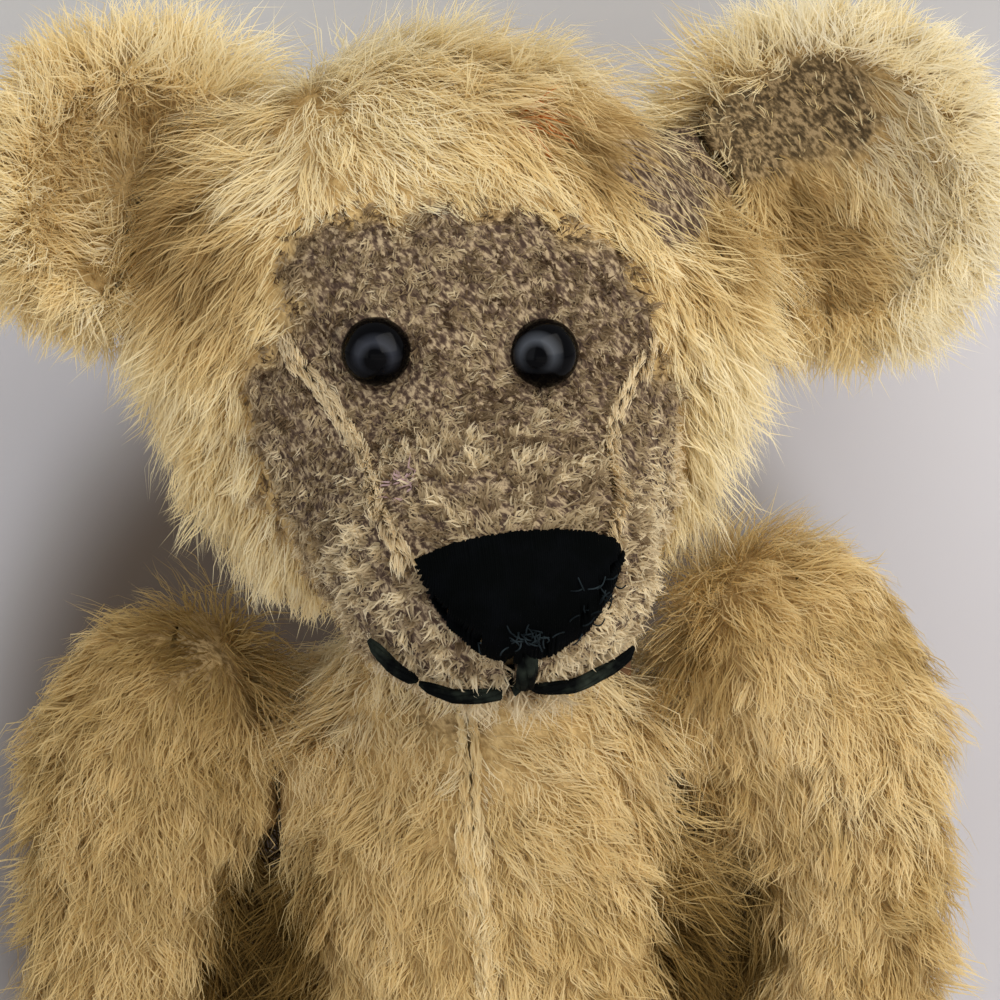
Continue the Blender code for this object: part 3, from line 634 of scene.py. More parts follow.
class Skin:
    """The woven backing of one panel, sunk below the pile's surface and a little lumpy."""

    def __init__(self, node, body, slot, core, depth_at, bare_at, others=None, gap=2.8,
                 facing=0.45, levels=2, settle=None):
        self.node = node
        self.body = body
        self.slot = slot
        sheet = outer_sheet(node, core, gap, facing)
        flat = as_object(node + "_flat", sheet.copy())
        subdivide(flat, levels, "SIMPLE")
        self.item = as_object(node + "_cloth", sheet)
        subdivide(self.item, levels, "CATMULL_CLARK")
        places, normals = vertices_of(self.item.data)
        unrounded = vertices_of(flat.data)[0]
        bpy.data.objects.remove(flat)
        self.gap = distances(others, unrounded) if others else np.full(len(places), FAR_AWAY)
        pressed = 1.0 - ease(self.gap, *CLOTH_PRESSED)
        places = blend(places, unrounded, pressed)
        lumps = rough(places / MM, (7.0, 3, 0.9), (2.6, 5, 0.3))
        depth = (depth_at(places) - lumps) * (1.0 - pressed) + PRESSED_DEPTH * pressed
        sunk = places - normals * (depth * MM)[:, None]
        write(self.item.data.vertices, "co", settle(sunk) if settle else sunk)
        bare = self.item.data.attributes.new(SHORN_MAP, "FLOAT", "POINT")
        write(bare.data, "value", bare_at(places))
        self.item.data.update()

    def rim(self):
        """Points on the open edges, where it is sewn to its neighbours, and their directions."""
        work = bmesh.new()
        work.from_mesh(self.item.data)
        found = []
        for edge in work.edges:
            if edge.is_boundary:
                start, end = (vertex.co for vertex in edge.verts)
                found += [(start.lerp(end, t), (end - start).normalized()) for t in RIM_STEPS]
        work.free()
        return found

    def scatter(self, density):
        """Random places for hairs on the skin, so many to the square millimetre."""
        mesh = self.item.data
        mesh.calc_loop_triangles()
        places, normals = vertices_of(mesh)
        corners = read(mesh.loop_triangles, "vertices", 3, np.int32)
        a, b, c = (places[corners[:, k]] for k in range(3))
        areas = np.linalg.norm(np.cross(b - a, c - a), axis=1) / 2
        count = int(areas.sum() / MM ** 2 * density)
        chosen = corners[RANDOM.choice(len(areas), count, p=areas / areas.sum())]
        first, second = np.sqrt(RANDOM.random(count)), RANDOM.random(count)
        weights = np.stack([1.0 - first, first * (1.0 - second), first * second], 1)
        roots = np.einsum("nk,nkd->nd", weights, places[chosen])
        out = unit(np.einsum("nk,nkd->nd", weights, normals[chosen]))
        return Pile(self, density, roots, out, (weights * self.gap[chosen]).sum(1))

    def finish(self, material):
        """Give the sheet its thickness, and show it with its finish on its body in place of its
        CAD node.
        """
        shell = self.item.modifiers.new("Cloth", "SOLIDIFY")
        shell.thickness = CLOTH_THICKNESS * MM
        shell.offset = -1.0
        apply_modifiers(self.item)
        show(self.item, material, self.body, self.node)


class Seams:
    """The edges where panels are sewn together, to find how near a hair grows to them."""

    def __init__(self, skins):
        rims = [rim for skin in skins for rim in skin.rim()]
        self.tree = KDTree(len(rims))
        for number, (place, _) in enumerate(rims):
            self.tree.insert(place, number)
        self.tree.balance()
        self.along = np.array([direction for _, direction in rims])

    def near(self, points):
        """The distance to the nearest seam in millimetres, and its direction there, downhill."""
        found = [self.tree.find(place)[1:] for place in points]
        along = self.along[[number for number, _ in found]]
        along = np.where(along[:, 2:] > 0.0, -along, along)
        return np.array([gap for _, gap in found]) / MM, along


# ---------------------------------------------------------------- pile

def blade(segments):
    """One flat hair: places across and along, and its faces, tapering to a point."""
    work = bmesh.new()
    bmesh.ops.create_grid(work, x_segments=1, y_segments=segments, size=1.0)
    bmesh.ops.recalc_face_normals(work, faces=work.faces[:])
    tips = [vertex for vertex in work.verts if vertex.co.y > 0.999]
    bmesh.ops.pointmerge(work, verts=tips, merge_co=(0.0, 1.0, 0.0))
    work.verts.index_update()
    work.faces.ensure_lookup_table()
    places = np.array([(v.co.x, (v.co.y + 1.0) / 2.0) for v in work.verts])
    faces = [[loop.vert.index for loop in face.loops] for face in work.faces]
    if work.faces[0].normal.z < 0.0:
        faces = [face[::-1] for face in faces]
    work.free()
    return places, faces


def blades_object(name, corners, places, faces, tone):
    """One mesh from many copies of a blade, whose corners are given for each."""
    count, size = corners.shape[:2]
    loops = np.concatenate([np.array(face) for face in faces])
    starts = np.cumsum([0] + [len(face) for face in faces[:-1]])
    step = np.arange(count)[:, None]
    mesh = bpy.data.meshes.new(name)
    mesh.vertices.add(count * size)
    write(mesh.vertices, "co", corners)
    mesh.loops.add(count * len(loops))
    write(mesh.loops, "vertex_index", loops + step * size, np.int32)
    mesh.polygons.add(count * len(faces))
    write(mesh.polygons, "loop_start", starts + step * len(loops), np.int32)
    mesh.update(calc_edges=True)
    hair_map = mesh.uv_layers.new(name=HAIR_MAP)
    across = np.clip(tone, 0.004, 0.996)[:, None] + places[loops, 0] * TONE_WIDTH
    along = np.broadcast_to(places[loops, 1], across.shape)
    write(hair_map.uv, "vector", np.stack([across, along], 2))
    return add_object(name, mesh)


def seen_from_front(points, out):
    """1 where the bear is looked at from the front and above its lap, and 0 elsewhere."""
    towards = out @ np.array([0.0, -math.cos(VIEW_TILT), math.sin(VIEW_TILT)])
    return ease(towards, -0.25, 0.15) * ease(points[:, 2] / MM, 48.0, 62.0)


class Pile:
    """Hairs to be grown on a skin, one entry per hair in each array.

    Lengths and widths are in millimetres. Lift is how much a hair stands up, droop how much
    its tip hangs, lock how wide its lock is and pull how strongly it is drawn into it.
    """

    def __init__(self, skin, density, roots, out, gap):
        self.skin = skin
        self.density = density
        self.roots = roots
        self.out = out
        self.gap = gap
        self.mm = roots / MM
        self.head = in_head(roots)
        self.seen = seen_from_front(roots, out)
        self.flow = np.zeros((len(roots), 3))
        self.brush(keep=1.0, length=4.6, width=0.108, lift=0.38, droop=0.25, tone=0.5,
                   lock=1.0, pull=0.58, unruly=0.22, frizz=0.1)

    def brush(self, **values):
        """Give every hair the same value, for each name."""
        for name, value in values.items():
            setattr(self, name, np.full(len(self.roots), value))

    def noise(self, size, seed):
        """Smooth noise about zero at the roots, in lumps of a size in millimetres."""
        return rough(self.mm, (size, seed, 1.0))

    def swirl(self, size, seed):
        """Smooth noise in each direction."""
        return np.stack([self.noise(size, seed + k) for k in range(3)], 1)

    def thinned(self):
        """Only the hairs that the local density leaves."""
        kept = RANDOM.random(len(self.roots)) < self.keep
        for name, values in vars(self).items():
            if isinstance(values, np.ndarray):
                setattr(self, name, values[kept])

    def leads(self):
        """For each hair, the number of the hair that leads its lock."""
        chance = 1.0 / np.maximum(self.density * self.lock ** 2, 1.0)
        leads = np.flatnonzero(RANDOM.random(len(self.roots)) < chance)
        tree = KDTree(len(leads))
        for number in leads:
            tree.insert(self.roots[number], int(number))
        tree.balance()
        return np.array([tree.find(place)[1] for place in self.roots])

    def centre_lines(self, segments, lead):
        """The hairs' middle points from root to tip, bent, frizzy and drawn into locks."""
        count = len(self.roots)
        strays = RANDOM.normal(size=(count, 3))
        wild = (0.6 * strays + 0.8 * strays[lead]) * self.unruly[:, None]
        flow = unit(along_surface(self.flow, self.out))
        lift = self.lift[:, None]
        start = unit(self.out * lift + flow * (1.0 - lift) + wild * 0.7)
        hang = np.outer(self.droop, (0.0, 0.0, -1.0))
        end = unit(self.out * lift * 0.4 + flow * (1.0 - 0.4 * lift) + hang + wild * 1.5)
        spread = 1.0 + 0.2 * RANDOM.normal(size=count) + 0.18 * RANDOM.normal(size=count)[lead]
        length = self.length * np.clip(spread, 0.35, 1.7) * MM
        sideways = unit(np.cross(flow, self.out) + 0.5 * RANDOM.normal(size=(count, 3)))
        phase = RANDOM.random(count) * math.tau
        roots = self.roots - self.out * (ROOT_DEPTH * MM)
        lines = []
        for t in np.linspace(0.0, 1.0, segments + 1):
            path = start * (t - t * t / 2.0) + end * (t * t / 2.0)
            wave = np.sin(phase + t * 5.5) - np.sin(phase)
            path = path + sideways * (wave * self.frizz * min(1.0, 2.0 * t))[:, None]
            own = path * length[:, None]
            shared = own[lead] * 0.65 + own * 0.35 + (roots[lead] - roots) * 0.88
            line = roots + blend(own, shared, self.pull * t ** 1.2)
            line[:, 2] = np.maximum(line[:, 2], FLATTENED * MM)
            lines.append(line)
        return lines

    def grow(self, kind, segments, material):
        """Make the hairs as one mesh of tapered blades that ride with the skin's body."""
        pressed = 1.0 - ease(self.gap, *HAIR_PRESSED)
        self.keep *= 1.0 - 0.93 * pressed
        self.length *= 1.0 - 0.5 * pressed
        self.thinned()
        count = len(self.roots)
        if count < FEWEST_HAIRS:
            return
        lead = self.leads()
        lines = self.centre_lines(segments, lead)
        roll = RANDOM.normal(size=count) * 0.35
        heading = unit(lines[-1] - lines[0])
        flat = unit(np.cross(heading, self.out))
        side = flat * np.cos(roll)[:, None] + np.cross(heading, flat) * np.sin(roll)[:, None]
        side *= (self.width * MM / 2.0)[:, None]
        places, faces = blade(segments)
        corners = np.empty((count, len(places), 3))
        for k, (across, t) in enumerate(places):
            corners[:, k] = lines[int(round(t * segments))] + side * across
        tone = self.tone + 0.04 * RANDOM.normal(size=count)
        tone += 0.04 * RANDOM.normal(size=count)[lead]
        tone = np.where(self.tone > DYED, self.tone, np.clip(tone, 0.0, PALEST))
        item = blades_object(f"{self.skin.node}_{kind}", corners, places, faces, tone)
        show(item, material, self.skin.body)


def grow_coat(skin, arrange, material):
    """Long pile in fine blades where it is looked at, and in fewer, wider ones elsewhere."""
    fine = skin.scatter(FINE_DENSITY)
    arrange(fine)
    fine.keep *= fine.seen
    fine.grow("pile", 3, material)
    coarse = skin.scatter(COARSE_DENSITY)
    arrange(coarse)
    coarse.keep *= 1.0 - coarse.seen
    coarse.width *= 1.75
    coarse.lock *= 1.3
    coarse.grow("undercoat", 2, material)


def comb_welt(pile, seams, width, tone):
    """Short uncut pile that stands pale along a seam, as wide as given in mm."""
    gap, along = seams.near(pile.roots)
    pile.brush(lift=0.5, droop=0.0, width=0.14, lock=0.6, unruly=0.08)
    pile.flow = along
    pile.length = 1.7 + 0.4 * pile.noise(1.2, 36)
    pile.tone = tone + 0.12 * pile.noise(1.5, 37)
    pile.keep = 1.0 - ease(gap, 0.4 * width, 0.62 * width)


# ---------------------------------------------------------------- the head

def outside_shorn(head):
    """How far outside the shorn face points of the head are, in mm, with a ragged edge."""
    ragged = rough(head, (1.6, 11, 2.6), (4.0, 12, 2.6))
    depth = depth_inside(head[:, 0], head[:, 2], SHORN_OUTLINE) + ragged
    behind = (head[:, 1] + 11.0) * 0.8
    return np.maximum(-depth, behind)


def shorn(points):
    """How shorn the head is at some points: 1 on the clipped face, 0 in the long pile."""
    return 1.0 - ease(outside_shorn(in_head(points)), -0.8, 0.8)


def round_eyes(points):
    """For each eye, how far points lie from its axis and above its back, and its axis."""
    for node in EYE_REFLECTIONS:
        middle, facing = (np.array(part) for part in eye_frame(node))
        away = (points - middle) / MM
        height = away @ facing
        yield np.linalg.norm(away - height[:, None] * facing, axis=1), height, facing


def head_depth(points):
    """Deep under long pile, less so on the crown, and shallow where shorn."""
    bare = shorn(points)
    top = ease(in_head(points)[:, 2], 42.0, 54.0)
    return (PILE_DEPTH - 1.2 * top) * (1.0 - bare) + SHORN_DEPTH * bare


def under_eyes(points):
    """Cloth drawn in to the foot of each glass eye."""
    for across, height, facing in round_eyes(points):
        ceiling = 3.2 * ease(across, 3.3, 5.6) - 0.5
        excess = np.maximum(height - ceiling, 0.0) * (across < 5.6) * (np.abs(height) < 6.0)
        points = points - facing * (excess * MM)[:, None]
    return points


def band_worn(head, flow):
    """How bare the band on the left ear is where hairs root and where their tips would lie."""
    ragged = rough(head, (2.2, 46, 2.8), (0.9, 47, 2.6))
    bare = np.zeros(len(head))
    for reach in BAND_REACHES:
        x, _, z = (head + flow * reach).T
        inside = ease(depth_inside(x, z, BALD_BAND) + ragged, -1.2, 1.2)
        bare = np.maximum(bare, (1.0 - 0.02 * reach) * inside)
    return bare


def ear_worn(head, side):
    """How bare the front of an ear is: the band on its left one, a patch on the other."""
    if side == "left":
        return band_worn(head, 0.0 * head)
    return 0.6 * spot(head * HOLLOW_SQUASH, *WORN_HOLLOW)


def painted_fold_shade(head):
    """How deep points lie in the folds where the ears join the head, from 0 to 1; the pile is
    painted darker there as shade.
    """
    folds = [((x, 0.0, z * FOLD_SQUASH[2]), reach) for x, z, reach in SHADED_EAR_FOLDS]
    return spots(head * FOLD_SQUASH, folds)


def head_bare(points):
    """Where the head's backing shows: the clipped face, and the bald band."""
    return np.maximum(shorn(points), ear_worn(in_head(points), "left"))


def comb_head(pile):
    """The long pile of the head: over the crown to the left, down the cheeks."""
    x, y, z = pile.head.T
    aside = np.sign(x)
    crown = ease(z, 33.0, 43.0)
    over = blend((-0.6, -0.25, -0.8), (0.75, -0.35, -0.8), ease(x, -19.0, -13.0))
    cheek = each(np.clip(x / 25.0, -1.0, 1.0) * 0.45, 0.1, -1.0)
    flow = blend(blend(cheek, over, crown), each(0.2 * aside, 0.5, -1.0), ease(y, -2.0, 10.0))
    notch = ease(np.abs(x), 14.0, 22.0) * ease(z, 38.0, 46.0)
    upwards = each(0.9 * aside * notch, 0.0, 0.7 * notch)
    flow = flow * (1.0 - 0.6 * notch[:, None]) + upwards + 0.5 * pile.swirl(4.0, 23)
    pile.flow = from_head(flow)
    pile.brush(unruly=0.17)
    grain = pile.noise(1.8, 21)
    broad = pile.noise(7.0, 22)
    longer = ease(outside_shorn(pile.head), 0.0, 5.0)
    top = ease(z, 44.0, 53.0)
    fringe = ease(np.abs(x), 13.0, 21.0) * between(z, -4.0, 8.0, 32.0, 42.0)
    fringe *= np.where(x > 0.0, 1.0, 0.35)
    pile.length = 2.3 + 2.9 * longer + 1.0 * broad + 1.6 * top + 3.0 * fringe + 2.2 * notch
    pile.lift = 0.26 + 0.2 * grain + 0.24 * top + 0.22 * fringe
    pile.tone = (0.56 + 0.20 * broad + 0.13 * grain + 0.10 * top + 0.16 * fringe
                 + 0.10 * ease(-x, 2.0, 10.0) * crown)
    # The pile is painted darker in the ears' folds, as shade.
    pile.tone *= (1.0 - 0.8 * spot(pile.head, *OCHRE_STAIN)) * (1.0 - 0.75 * painted_fold_shade(pile.head))
    pile.tone = np.clip(pile.tone, 0.05, 0.86)
    stained = RANDOM.random(len(x)) < 0.8 * spot(pile.head, *RUST_STAIN)
    pile.tone[stained] = STAIN
    bald = band_worn(pile.head, unit(flow)) * (1.0 - ease(y, 4.0, 9.0))
    pile.keep = (1.0 - shorn(pile.roots)) * (1.0 - 0.95 * bald)


def comb_face(pile, seams):
    """The stubble: small pale curls over the dark weave, and uncut pile along the seams."""
    x, y, z = pile.head.T
    gap, along = seams.near(pile.roots)
    welt = (1.0 - ease(gap, 0.6, 1.1)) * ease(z, 15.5, 16.5)
    muzzle = ease(-y, 26.0, 33.0)
    mottle = pile.noise(0.9, 31)
    tufts = ease(cloud(pile.mm, 0.9, 35), 0.36, 0.6)
    drift = each(0.55 + mottle, pile.noise(1.5, 33), -0.8 + pile.noise(1.5, 34))
    off_nose = unit(pile.head - NOSE_TIP) * 0.8 * muzzle[:, None]
    flow = from_head(drift * (1.0 - 0.5 * muzzle[:, None]) + off_nose)
    chin = spot(pile.head, *CHIN)
    hanging = from_head([0.0, -0.5, -1.0]) * (2.0 * chin)[:, None]
    pile.flow = blend(flow, 2.0 * along, welt) + hanging
    pile.length = 1.15 + 0.25 * muzzle + 0.5 * mottle + 2.6 * chin
    pile.lift = 0.36 + 0.3 * mottle
    pile.width = 0.16 + 0.03 * muzzle
    pile.brush(lock=0.42, pull=0.65, unruly=0.45, droop=0.0, frizz=0.2)
    eyes = spots(pile.head, ROUND_EYES)
    foot = (1.0 - ease(z, 8.0, 17.0)) * (0.6 + 0.4 * ease(x, 2.0, 8.0))
    left_cheek = 1.5 * ease(x, 9.0, 14.0) * (1.0 - ease(z, 19.0, 26.0))
    right_cheek = 0.6 * ease(-x, 11.0, 14.0) * (1.0 - ease(z, 21.0, 26.0))
    pale = np.maximum.reduce(
        [foot, left_cheek, right_cheek, 0.8 * spots(pile.head, BELOW_EYES)])
    pile.tone = (0.34 + 0.06 * muzzle + 1.05 * mottle + 0.20 * pile.noise(4.5, 32)
                 + 0.10 * eyes + (0.55 + 0.8 * mottle) * chin + 0.36 * pale
                 + 0.12 * muzzle * tufts)
    pile.tone = np.clip(pile.tone, 0.03, 0.86)
    streak = spot(pile.head * STREAK_SQUASH, *LILAC_STREAK)
    pile.tone[RANDOM.random(len(x)) < streak * 0.7] = STAIN
    kept = 0.3 - 0.18 * muzzle + (0.55 + 0.3 * muzzle) * tufts + 0.3 * eyes - 0.35 * streak
    pile.keep = shorn(pile.roots) * np.clip(kept, 0.0, 1.0) * (1.0 - welt)
    for across, _, _ in round_eyes(pile.roots):
        pile.keep *= across > EYE_RADIUS + BARE_ROUND_EYE


def build_head():
    backing = backing_finish("head_backing", CLIPPED_FACE)
    long_hair = hair_finish("head_mohair", HEAD_TONES)
    stubble = hair_finish("shorn_mohair", FACE_TONES, 0.62)
    core = surface_of("head_stuffing")
    others = surface_of(*CLOTH_OF["torso"], *CLOTH_OF["arm_left"], *CLOTH_OF["arm_right"], *EARS)
    skins = [Skin(node, "head", "head_mohair", core, head_depth, head_bare, others,
                  settle=under_eyes) for node in CLOTH_OF["head"]]
    seams = Seams(skins)
    for skin in skins:
        grow_coat(skin, comb_head, long_hair)
        pile = skin.scatter(STUBBLE_DENSITY)
        comb_face(pile, seams)
        pile.grow("stubble", 2, stubble)
        pile = skin.scatter(WELT_DENSITY)
        comb_welt(pile, seams, 1.25, 0.84)
        pile.length += 0.4 * ease(-pile.head[:, 1], 26.0, 33.0)
        pile.keep *= shorn(pile.roots) * ease(pile.head[:, 2], 15.5, 16.5)
        pile.grow("welt", 2, stubble)
        skin.finish(backing)


def comb_ear(pile, side, front, middle, rim):
    """Pile that fans out of the ear's hollow and over its rim, thin where it is worn."""
    x, _, z = pile.head.T
    radial = unit((pile.head - middle) * (1.0, 0.2, 1.0))
    edge = 1.0 - ease(rim.near(pile.roots)[0], 1.5, 4.0)
    if not front:
        fan = radial * 0.2 + (0.0, 0.2, -0.9)
    elif side == "left":
        fan = blend((0.8, -0.1, -0.6), (0.5, 0.0, 0.85), ease(z - 0.25 * x, 41.0, 44.0))
    else:
        fan = unit(each(x + 23.0, 0.0, z - 34.0)) + (-0.35, -0.1, 0.2)
    over = edge[:, None]
    flow = fan * (1.0 - 0.45 * over) + radial * over + 0.5 * pile.swirl(3.0, 43)
    pile.flow = from_head(flow)
    bald = band_worn(pile.head, unit(flow)) if side == "left" else ear_worn(pile.head, side)
    bald = bald * front * (z < 52.5)
    notch = ease(SIGNS[side] * (middle[0] - x), 1.0, 9.0) * ease(z - middle[2], 1.0, 8.0)
    broad = pile.noise(5.0, 41)
    grain = pile.noise(1.6, 42)
    pile.length = (5.0 + 1.4 * broad + 0.8 * edge + 3.0 * notch * edge) * (1.0 - 0.7 * bald)
    pile.lift = 0.28 + 0.2 * grain + 0.4 * edge
    pile.brush(droop=0.05, unruly=0.2)
    # Painted light: the outer side and top of the bear's left ear are paler, as if lit; its
    # folds are painted darker as shade.
    painted_light = np.maximum(ease(x, 34.0, 42.0), ease(z, 49.0, 53.0) * (x > 0.0))
    pile.tone = (0.42 + 0.28 * broad + 0.20 * grain + 0.18 * edge + 0.36 * painted_light
                 - 0.28 * painted_fold_shade(pile.head))
    pile.tone = np.clip(pile.tone, 0.04, 0.78)
    pile.keep = 1.0 - 0.9 * bald
    pile.seen = np.maximum(pile.seen, edge)
    return edge


def build_ears():
    backing = backing_finish("ear_backing", WORN_EAR)
    hair = hair_finish("ear_mohair", HEAD_TONES)
    for side in ("left", "right"):
        for part, other in (("front", "back"), ("back", "front")):
            front = part == "front"
            skin = Skin(f"ear_{part}_{side}", "head", "head_mohair",
                        surface_of(f"ear_{other}_{side}"), lambda points: EAR_DEPTH,
                        lambda points: ear_worn(in_head(points), side) * front,
                        gap=0.6, facing=-0.3)
            middle = in_head(vertices_of(skin.item.data)[0]).mean(0)
            rim = Seams([skin])
            grow_coat(skin, lambda pile: comb_ear(pile, side, front, middle, rim), hair)
            fringe = skin.scatter(FRINGE_DENSITY)
            edge = comb_ear(fringe, side, front, middle, rim)
            fringe.keep *= ease(edge, 0.9, 0.99)
            fringe.lift = RANDOM.uniform(0.5, 1.0, len(edge))
            fringe.grow("fringe", 3, hair)
            skin.finish(backing)


def eye_frame(node):
    """The middle of an eye's flat back and the way the eye looks."""
    mesh = NODES[node].data
    back = max(mesh.polygons, key=lambda face: face.area)
    facing = -back.normal
    flat = [face for face in mesh.polygons if face.normal.dot(facing) < -0.99]
    total = sum(face.area for face in flat)
    middle = sum((face.center * face.area for face in flat), Vector()) / total
    return middle, facing


def build_eyes():
    """Glass domes, turned from a profile, that reach through the pile to the backing."""
    gleams = []
    # Where each eye's painted reflection lies, and its colour.
    for node, (aside, reflection_tint) in EYE_REFLECTIONS.items():
        middle, facing = eye_frame(node)
        centre = middle + facing * (2.5 * MM) + Vector((aside, 0.0, -0.3)) * MM
        gleams.append((centre, tint(*reflection_tint)))
    glass = glass_finish(gleams)
    turns = [math.radians(90.0 * k / 10) for k in range(11)]
    profile = [(0.0, EYE_BACK), (EYE_RADIUS, EYE_BACK)]
    profile += [(EYE_RADIUS * math.cos(a), EYE_HEIGHT * math.sin(a)) for a in turns]
    for node in EYE_REFLECTIONS:
        middle, facing = eye_frame(node)
        work = bmesh.new()
        verts = [work.verts.new((out * MM, 0.0, up * MM)) for out, up in profile]
        edges = [work.edges.new(pair) for pair in zip(verts, verts[1:])]
        bmesh.ops.spin(work, geom=verts + edges, cent=(0.0, 0.0, 0.0), axis=(0.0, 0.0, 1.0),
                       angle=math.tau, steps=32, use_merge=True)
        bmesh.ops.remove_doubles(work, verts=work.verts[:], dist=1e-6)
        bmesh.ops.recalc_face_normals(work, faces=work.faces[:])
        turn = facing.to_track_quat("Z", "Y").to_matrix().to_4x4()
        work.transform(Matrix.Translation(middle) @ turn)
        show(as_object(node + "_dome", work), glass, "head", node)


# ---------------------------------------------------------------- the face's threads

def on_front(tree, across, up, proud):
    """A point on a surface of the head, met from the front, and moved out of it.

    A line of sight that slips between two faces is tried again a little to one side.
    """
    forward = Vector(from_head([0.0, 1.0, 0.0])[0])
    for aside in SIGHT_STEPS:
        start = Vector(from_head([across + aside, SIGHT_START, up])[0] * MM + NECK)
        hit = tree.ray_cast(start, forward)[0]
        if hit:
            return hit - forward * (proud * MM)
    raise ValueError(f"the head has no cloth at {across}, {up}")


def lay_threads(name, strands, material, node=None):
    """Round threads on the head, from runs of points with their radii in millimetres."""
    curve = bpy.data.curves.new(name, "CURVE")
    curve.dimensions = "3D"
    curve.bevel_depth = MM
    curve.bevel_resolution = 1
    curve.use_fill_caps = True
    for points in strands:
        spline = curve.splines.new("POLY")
        spline.points.add(len(points) - 1)
        for point, (place, radius) in zip(spline.points, points):
            point.co = (*place, 1.0)
            point.radius = radius
    maker = add_object(name + "_maker", curve)
    mesh = made_mesh(maker)
    bpy.data.objects.remove(maker)
    show(add_object(name, mesh), material, "head", node)


def build_nose(cloth, thread):
    """Satin stitches side by side from the upper to the lower edge, over a padded form."""
    left, right = NOSE_TOP[0][0], NOSE_TOP[-1][0]
    strands = []
    for number in range(NOSE_THREADS):
        share = (number + 0.5) / NOSE_THREADS
        across = left + (right - left) * share
        high = np.interp(across, *zip(*NOSE_TOP)) + 0.05 * RANDOM.normal()
        low = np.interp(across, *zip(*NOSE_FOOT)) + 0.07 * RANDOM.normal()
        rounding = 1.0 - abs(2.0 * share - 1.0) ** 3 * 0.55
        points = []
        for t in np.linspace(0.0, 1.0, 9):
            arch = abs(math.sin(math.pi * t))
            lean = (0.25 - 0.5 * share) * arch
            proud = (0.2 + NOSE_SWELL * arch ** 0.5) * rounding
            place = on_front(cloth, across + lean, high + (low - high) * t, proud)
            points.append((place, NOSE_THREAD_RADIUS * (0.75 if t in (0.0, 1.0) else 1.0)))
        strands.append(points)
    lay_threads("nose_satin_threads", strands, thread, "nose_stitching")


def build_frays(cloth, thread):
    """Worn ends of thread that curl over the nose's lower edge and its left side."""
    strands = []
    for across, up, count in FRAYED_PLACES:
        for _ in range(count):
            x, z = across + RANDOM.normal() * 1.1, up + RANDOM.normal() * 0.5
            turn, bend = RANDOM.uniform(0.0, math.tau), RANDOM.normal() * 1.4
            points = []
            for t in np.linspace(0.0, 1.0, 6):
                proud = 1.55 + 0.4 * math.sin(math.pi * t)
                points.append((on_front(cloth, x, z, proud), FRAY_RADIUS))
                x += FRAY_STEP * math.cos(turn + bend * t)
                z += FRAY_STEP * math.sin(turn + bend * t)
            strands.append(points)
    lay_threads("nose_frayed_ends", strands, thread)


def build_mouth(cloth, thread):
    """Each stitch is a few plies wound round a line that dives into the cloth at its ends."""
    for node, line in MOUTH_STITCHES.items():
        thick = PHILTRUM_RADIUS if node == "philtrum_stitch" else STITCH_RADIUS
        line = np.array(line)
        run = np.concatenate([[0.0], np.cumsum(np.linalg.norm(np.diff(line, axis=0), axis=1))])
        places, bulges = [], []
        for t in np.linspace(0.0, 1.0, max(8, int(run[-1] / STITCH_STEP))):
            across, up = (np.interp(t * run[-1], run, line[:, k]) for k in range(2))
            bulge = math.sin(math.pi * t) ** 0.3
            places.append(on_front(cloth, across, up, 0.7 * bulge - 0.7))
            bulges.append(bulge)
        heading = (places[-1] - places[0]).normalized()
        outward = Vector(from_head([0.0, -1.0, 0.0])[0])
        sideways = heading.cross(outward).normalized()
        strands = []
        for ply in range(STITCH_PLIES):
            points = []
            for number, (place, bulge) in enumerate(zip(places, bulges)):
                angle = math.tau * ply / STITCH_PLIES + number * PLY_TURN
                wide = thick * 0.55 * (0.25 + 0.75 * bulge)
                offset = sideways * math.cos(angle) + outward * math.sin(angle)
                points.append((place + offset * wide * MM, thick * 0.5 * (0.5 + 0.5 * bulge)))
            strands.append(points)
        lay_threads(node + "_thread", strands, thread, node)


def build_face_threads():
    """The nose, its frayed ends and the mouth, each in its own worn black thread."""
    cloth = surface_of(*CLOTH_OF["head"])
    build_nose(cloth, thread_finish("nose_thread", (0, 1, 1), (3, 4, 6)))
    build_frays(cloth, thread_finish("frayed_thread", (12, 17, 19), (46, 55, 58)))
    build_mouth(cloth, thread_finish("mouth_thread", (4, 5, 5), (44, 50, 42)))


# ---------------------------------------------------------------- body and limbs

def fill_flank(pile):
    """Longer, rougher pile where two parts of the bear stand just apart, painted darker there as
    shade.
    """
    front = ease(-pile.out[:, 1], 0.35, 0.75)
    beside = between(pile.gap, 1.0, 2.5, 9.0, 15.0) * (1.0 - front)
    middle, above, high = (
        ease(pile.mm[:, 2], *limits) for limits in ((42.0, 56.0), (64.0, 80.0), (82.0, 92.0)))
    pile.length += (1.2 + 4.2 * middle - 3.4 * high) * beside
    pile.lift += (0.35 - 0.25 * high) * beside
    pile.unruly *= 1.0 - 0.4 * high * beside
    # Painted shade in the gap: darkest at middle height, and none high up by the head.
    pile.tone -= (0.1 + 0.4 * middle - 0.5 * above) * beside


def mat_down(pile):
    """Wavy locks that lie matted together, as on the bear's body."""
    pile.brush(lock=1.5, pull=0.66)
    pile.frizz = 0.16 + 0.12 * pile.noise(5.0, 58)


def worn(points, seed):
    """Patches where the pile is rubbed thin, from 0 to 1."""
    places = points / MM
    return ease(cloud(places, 7.5, seed) + rough(places, (2.0, seed + 1, 0.25)), 0.66, 0.84)


def chest_worn(points):
    """How bare the strip on the bear's left of the chest seam is."""
    return spot(points / MM * STRIP_SQUASH, *WORN_STRIP)


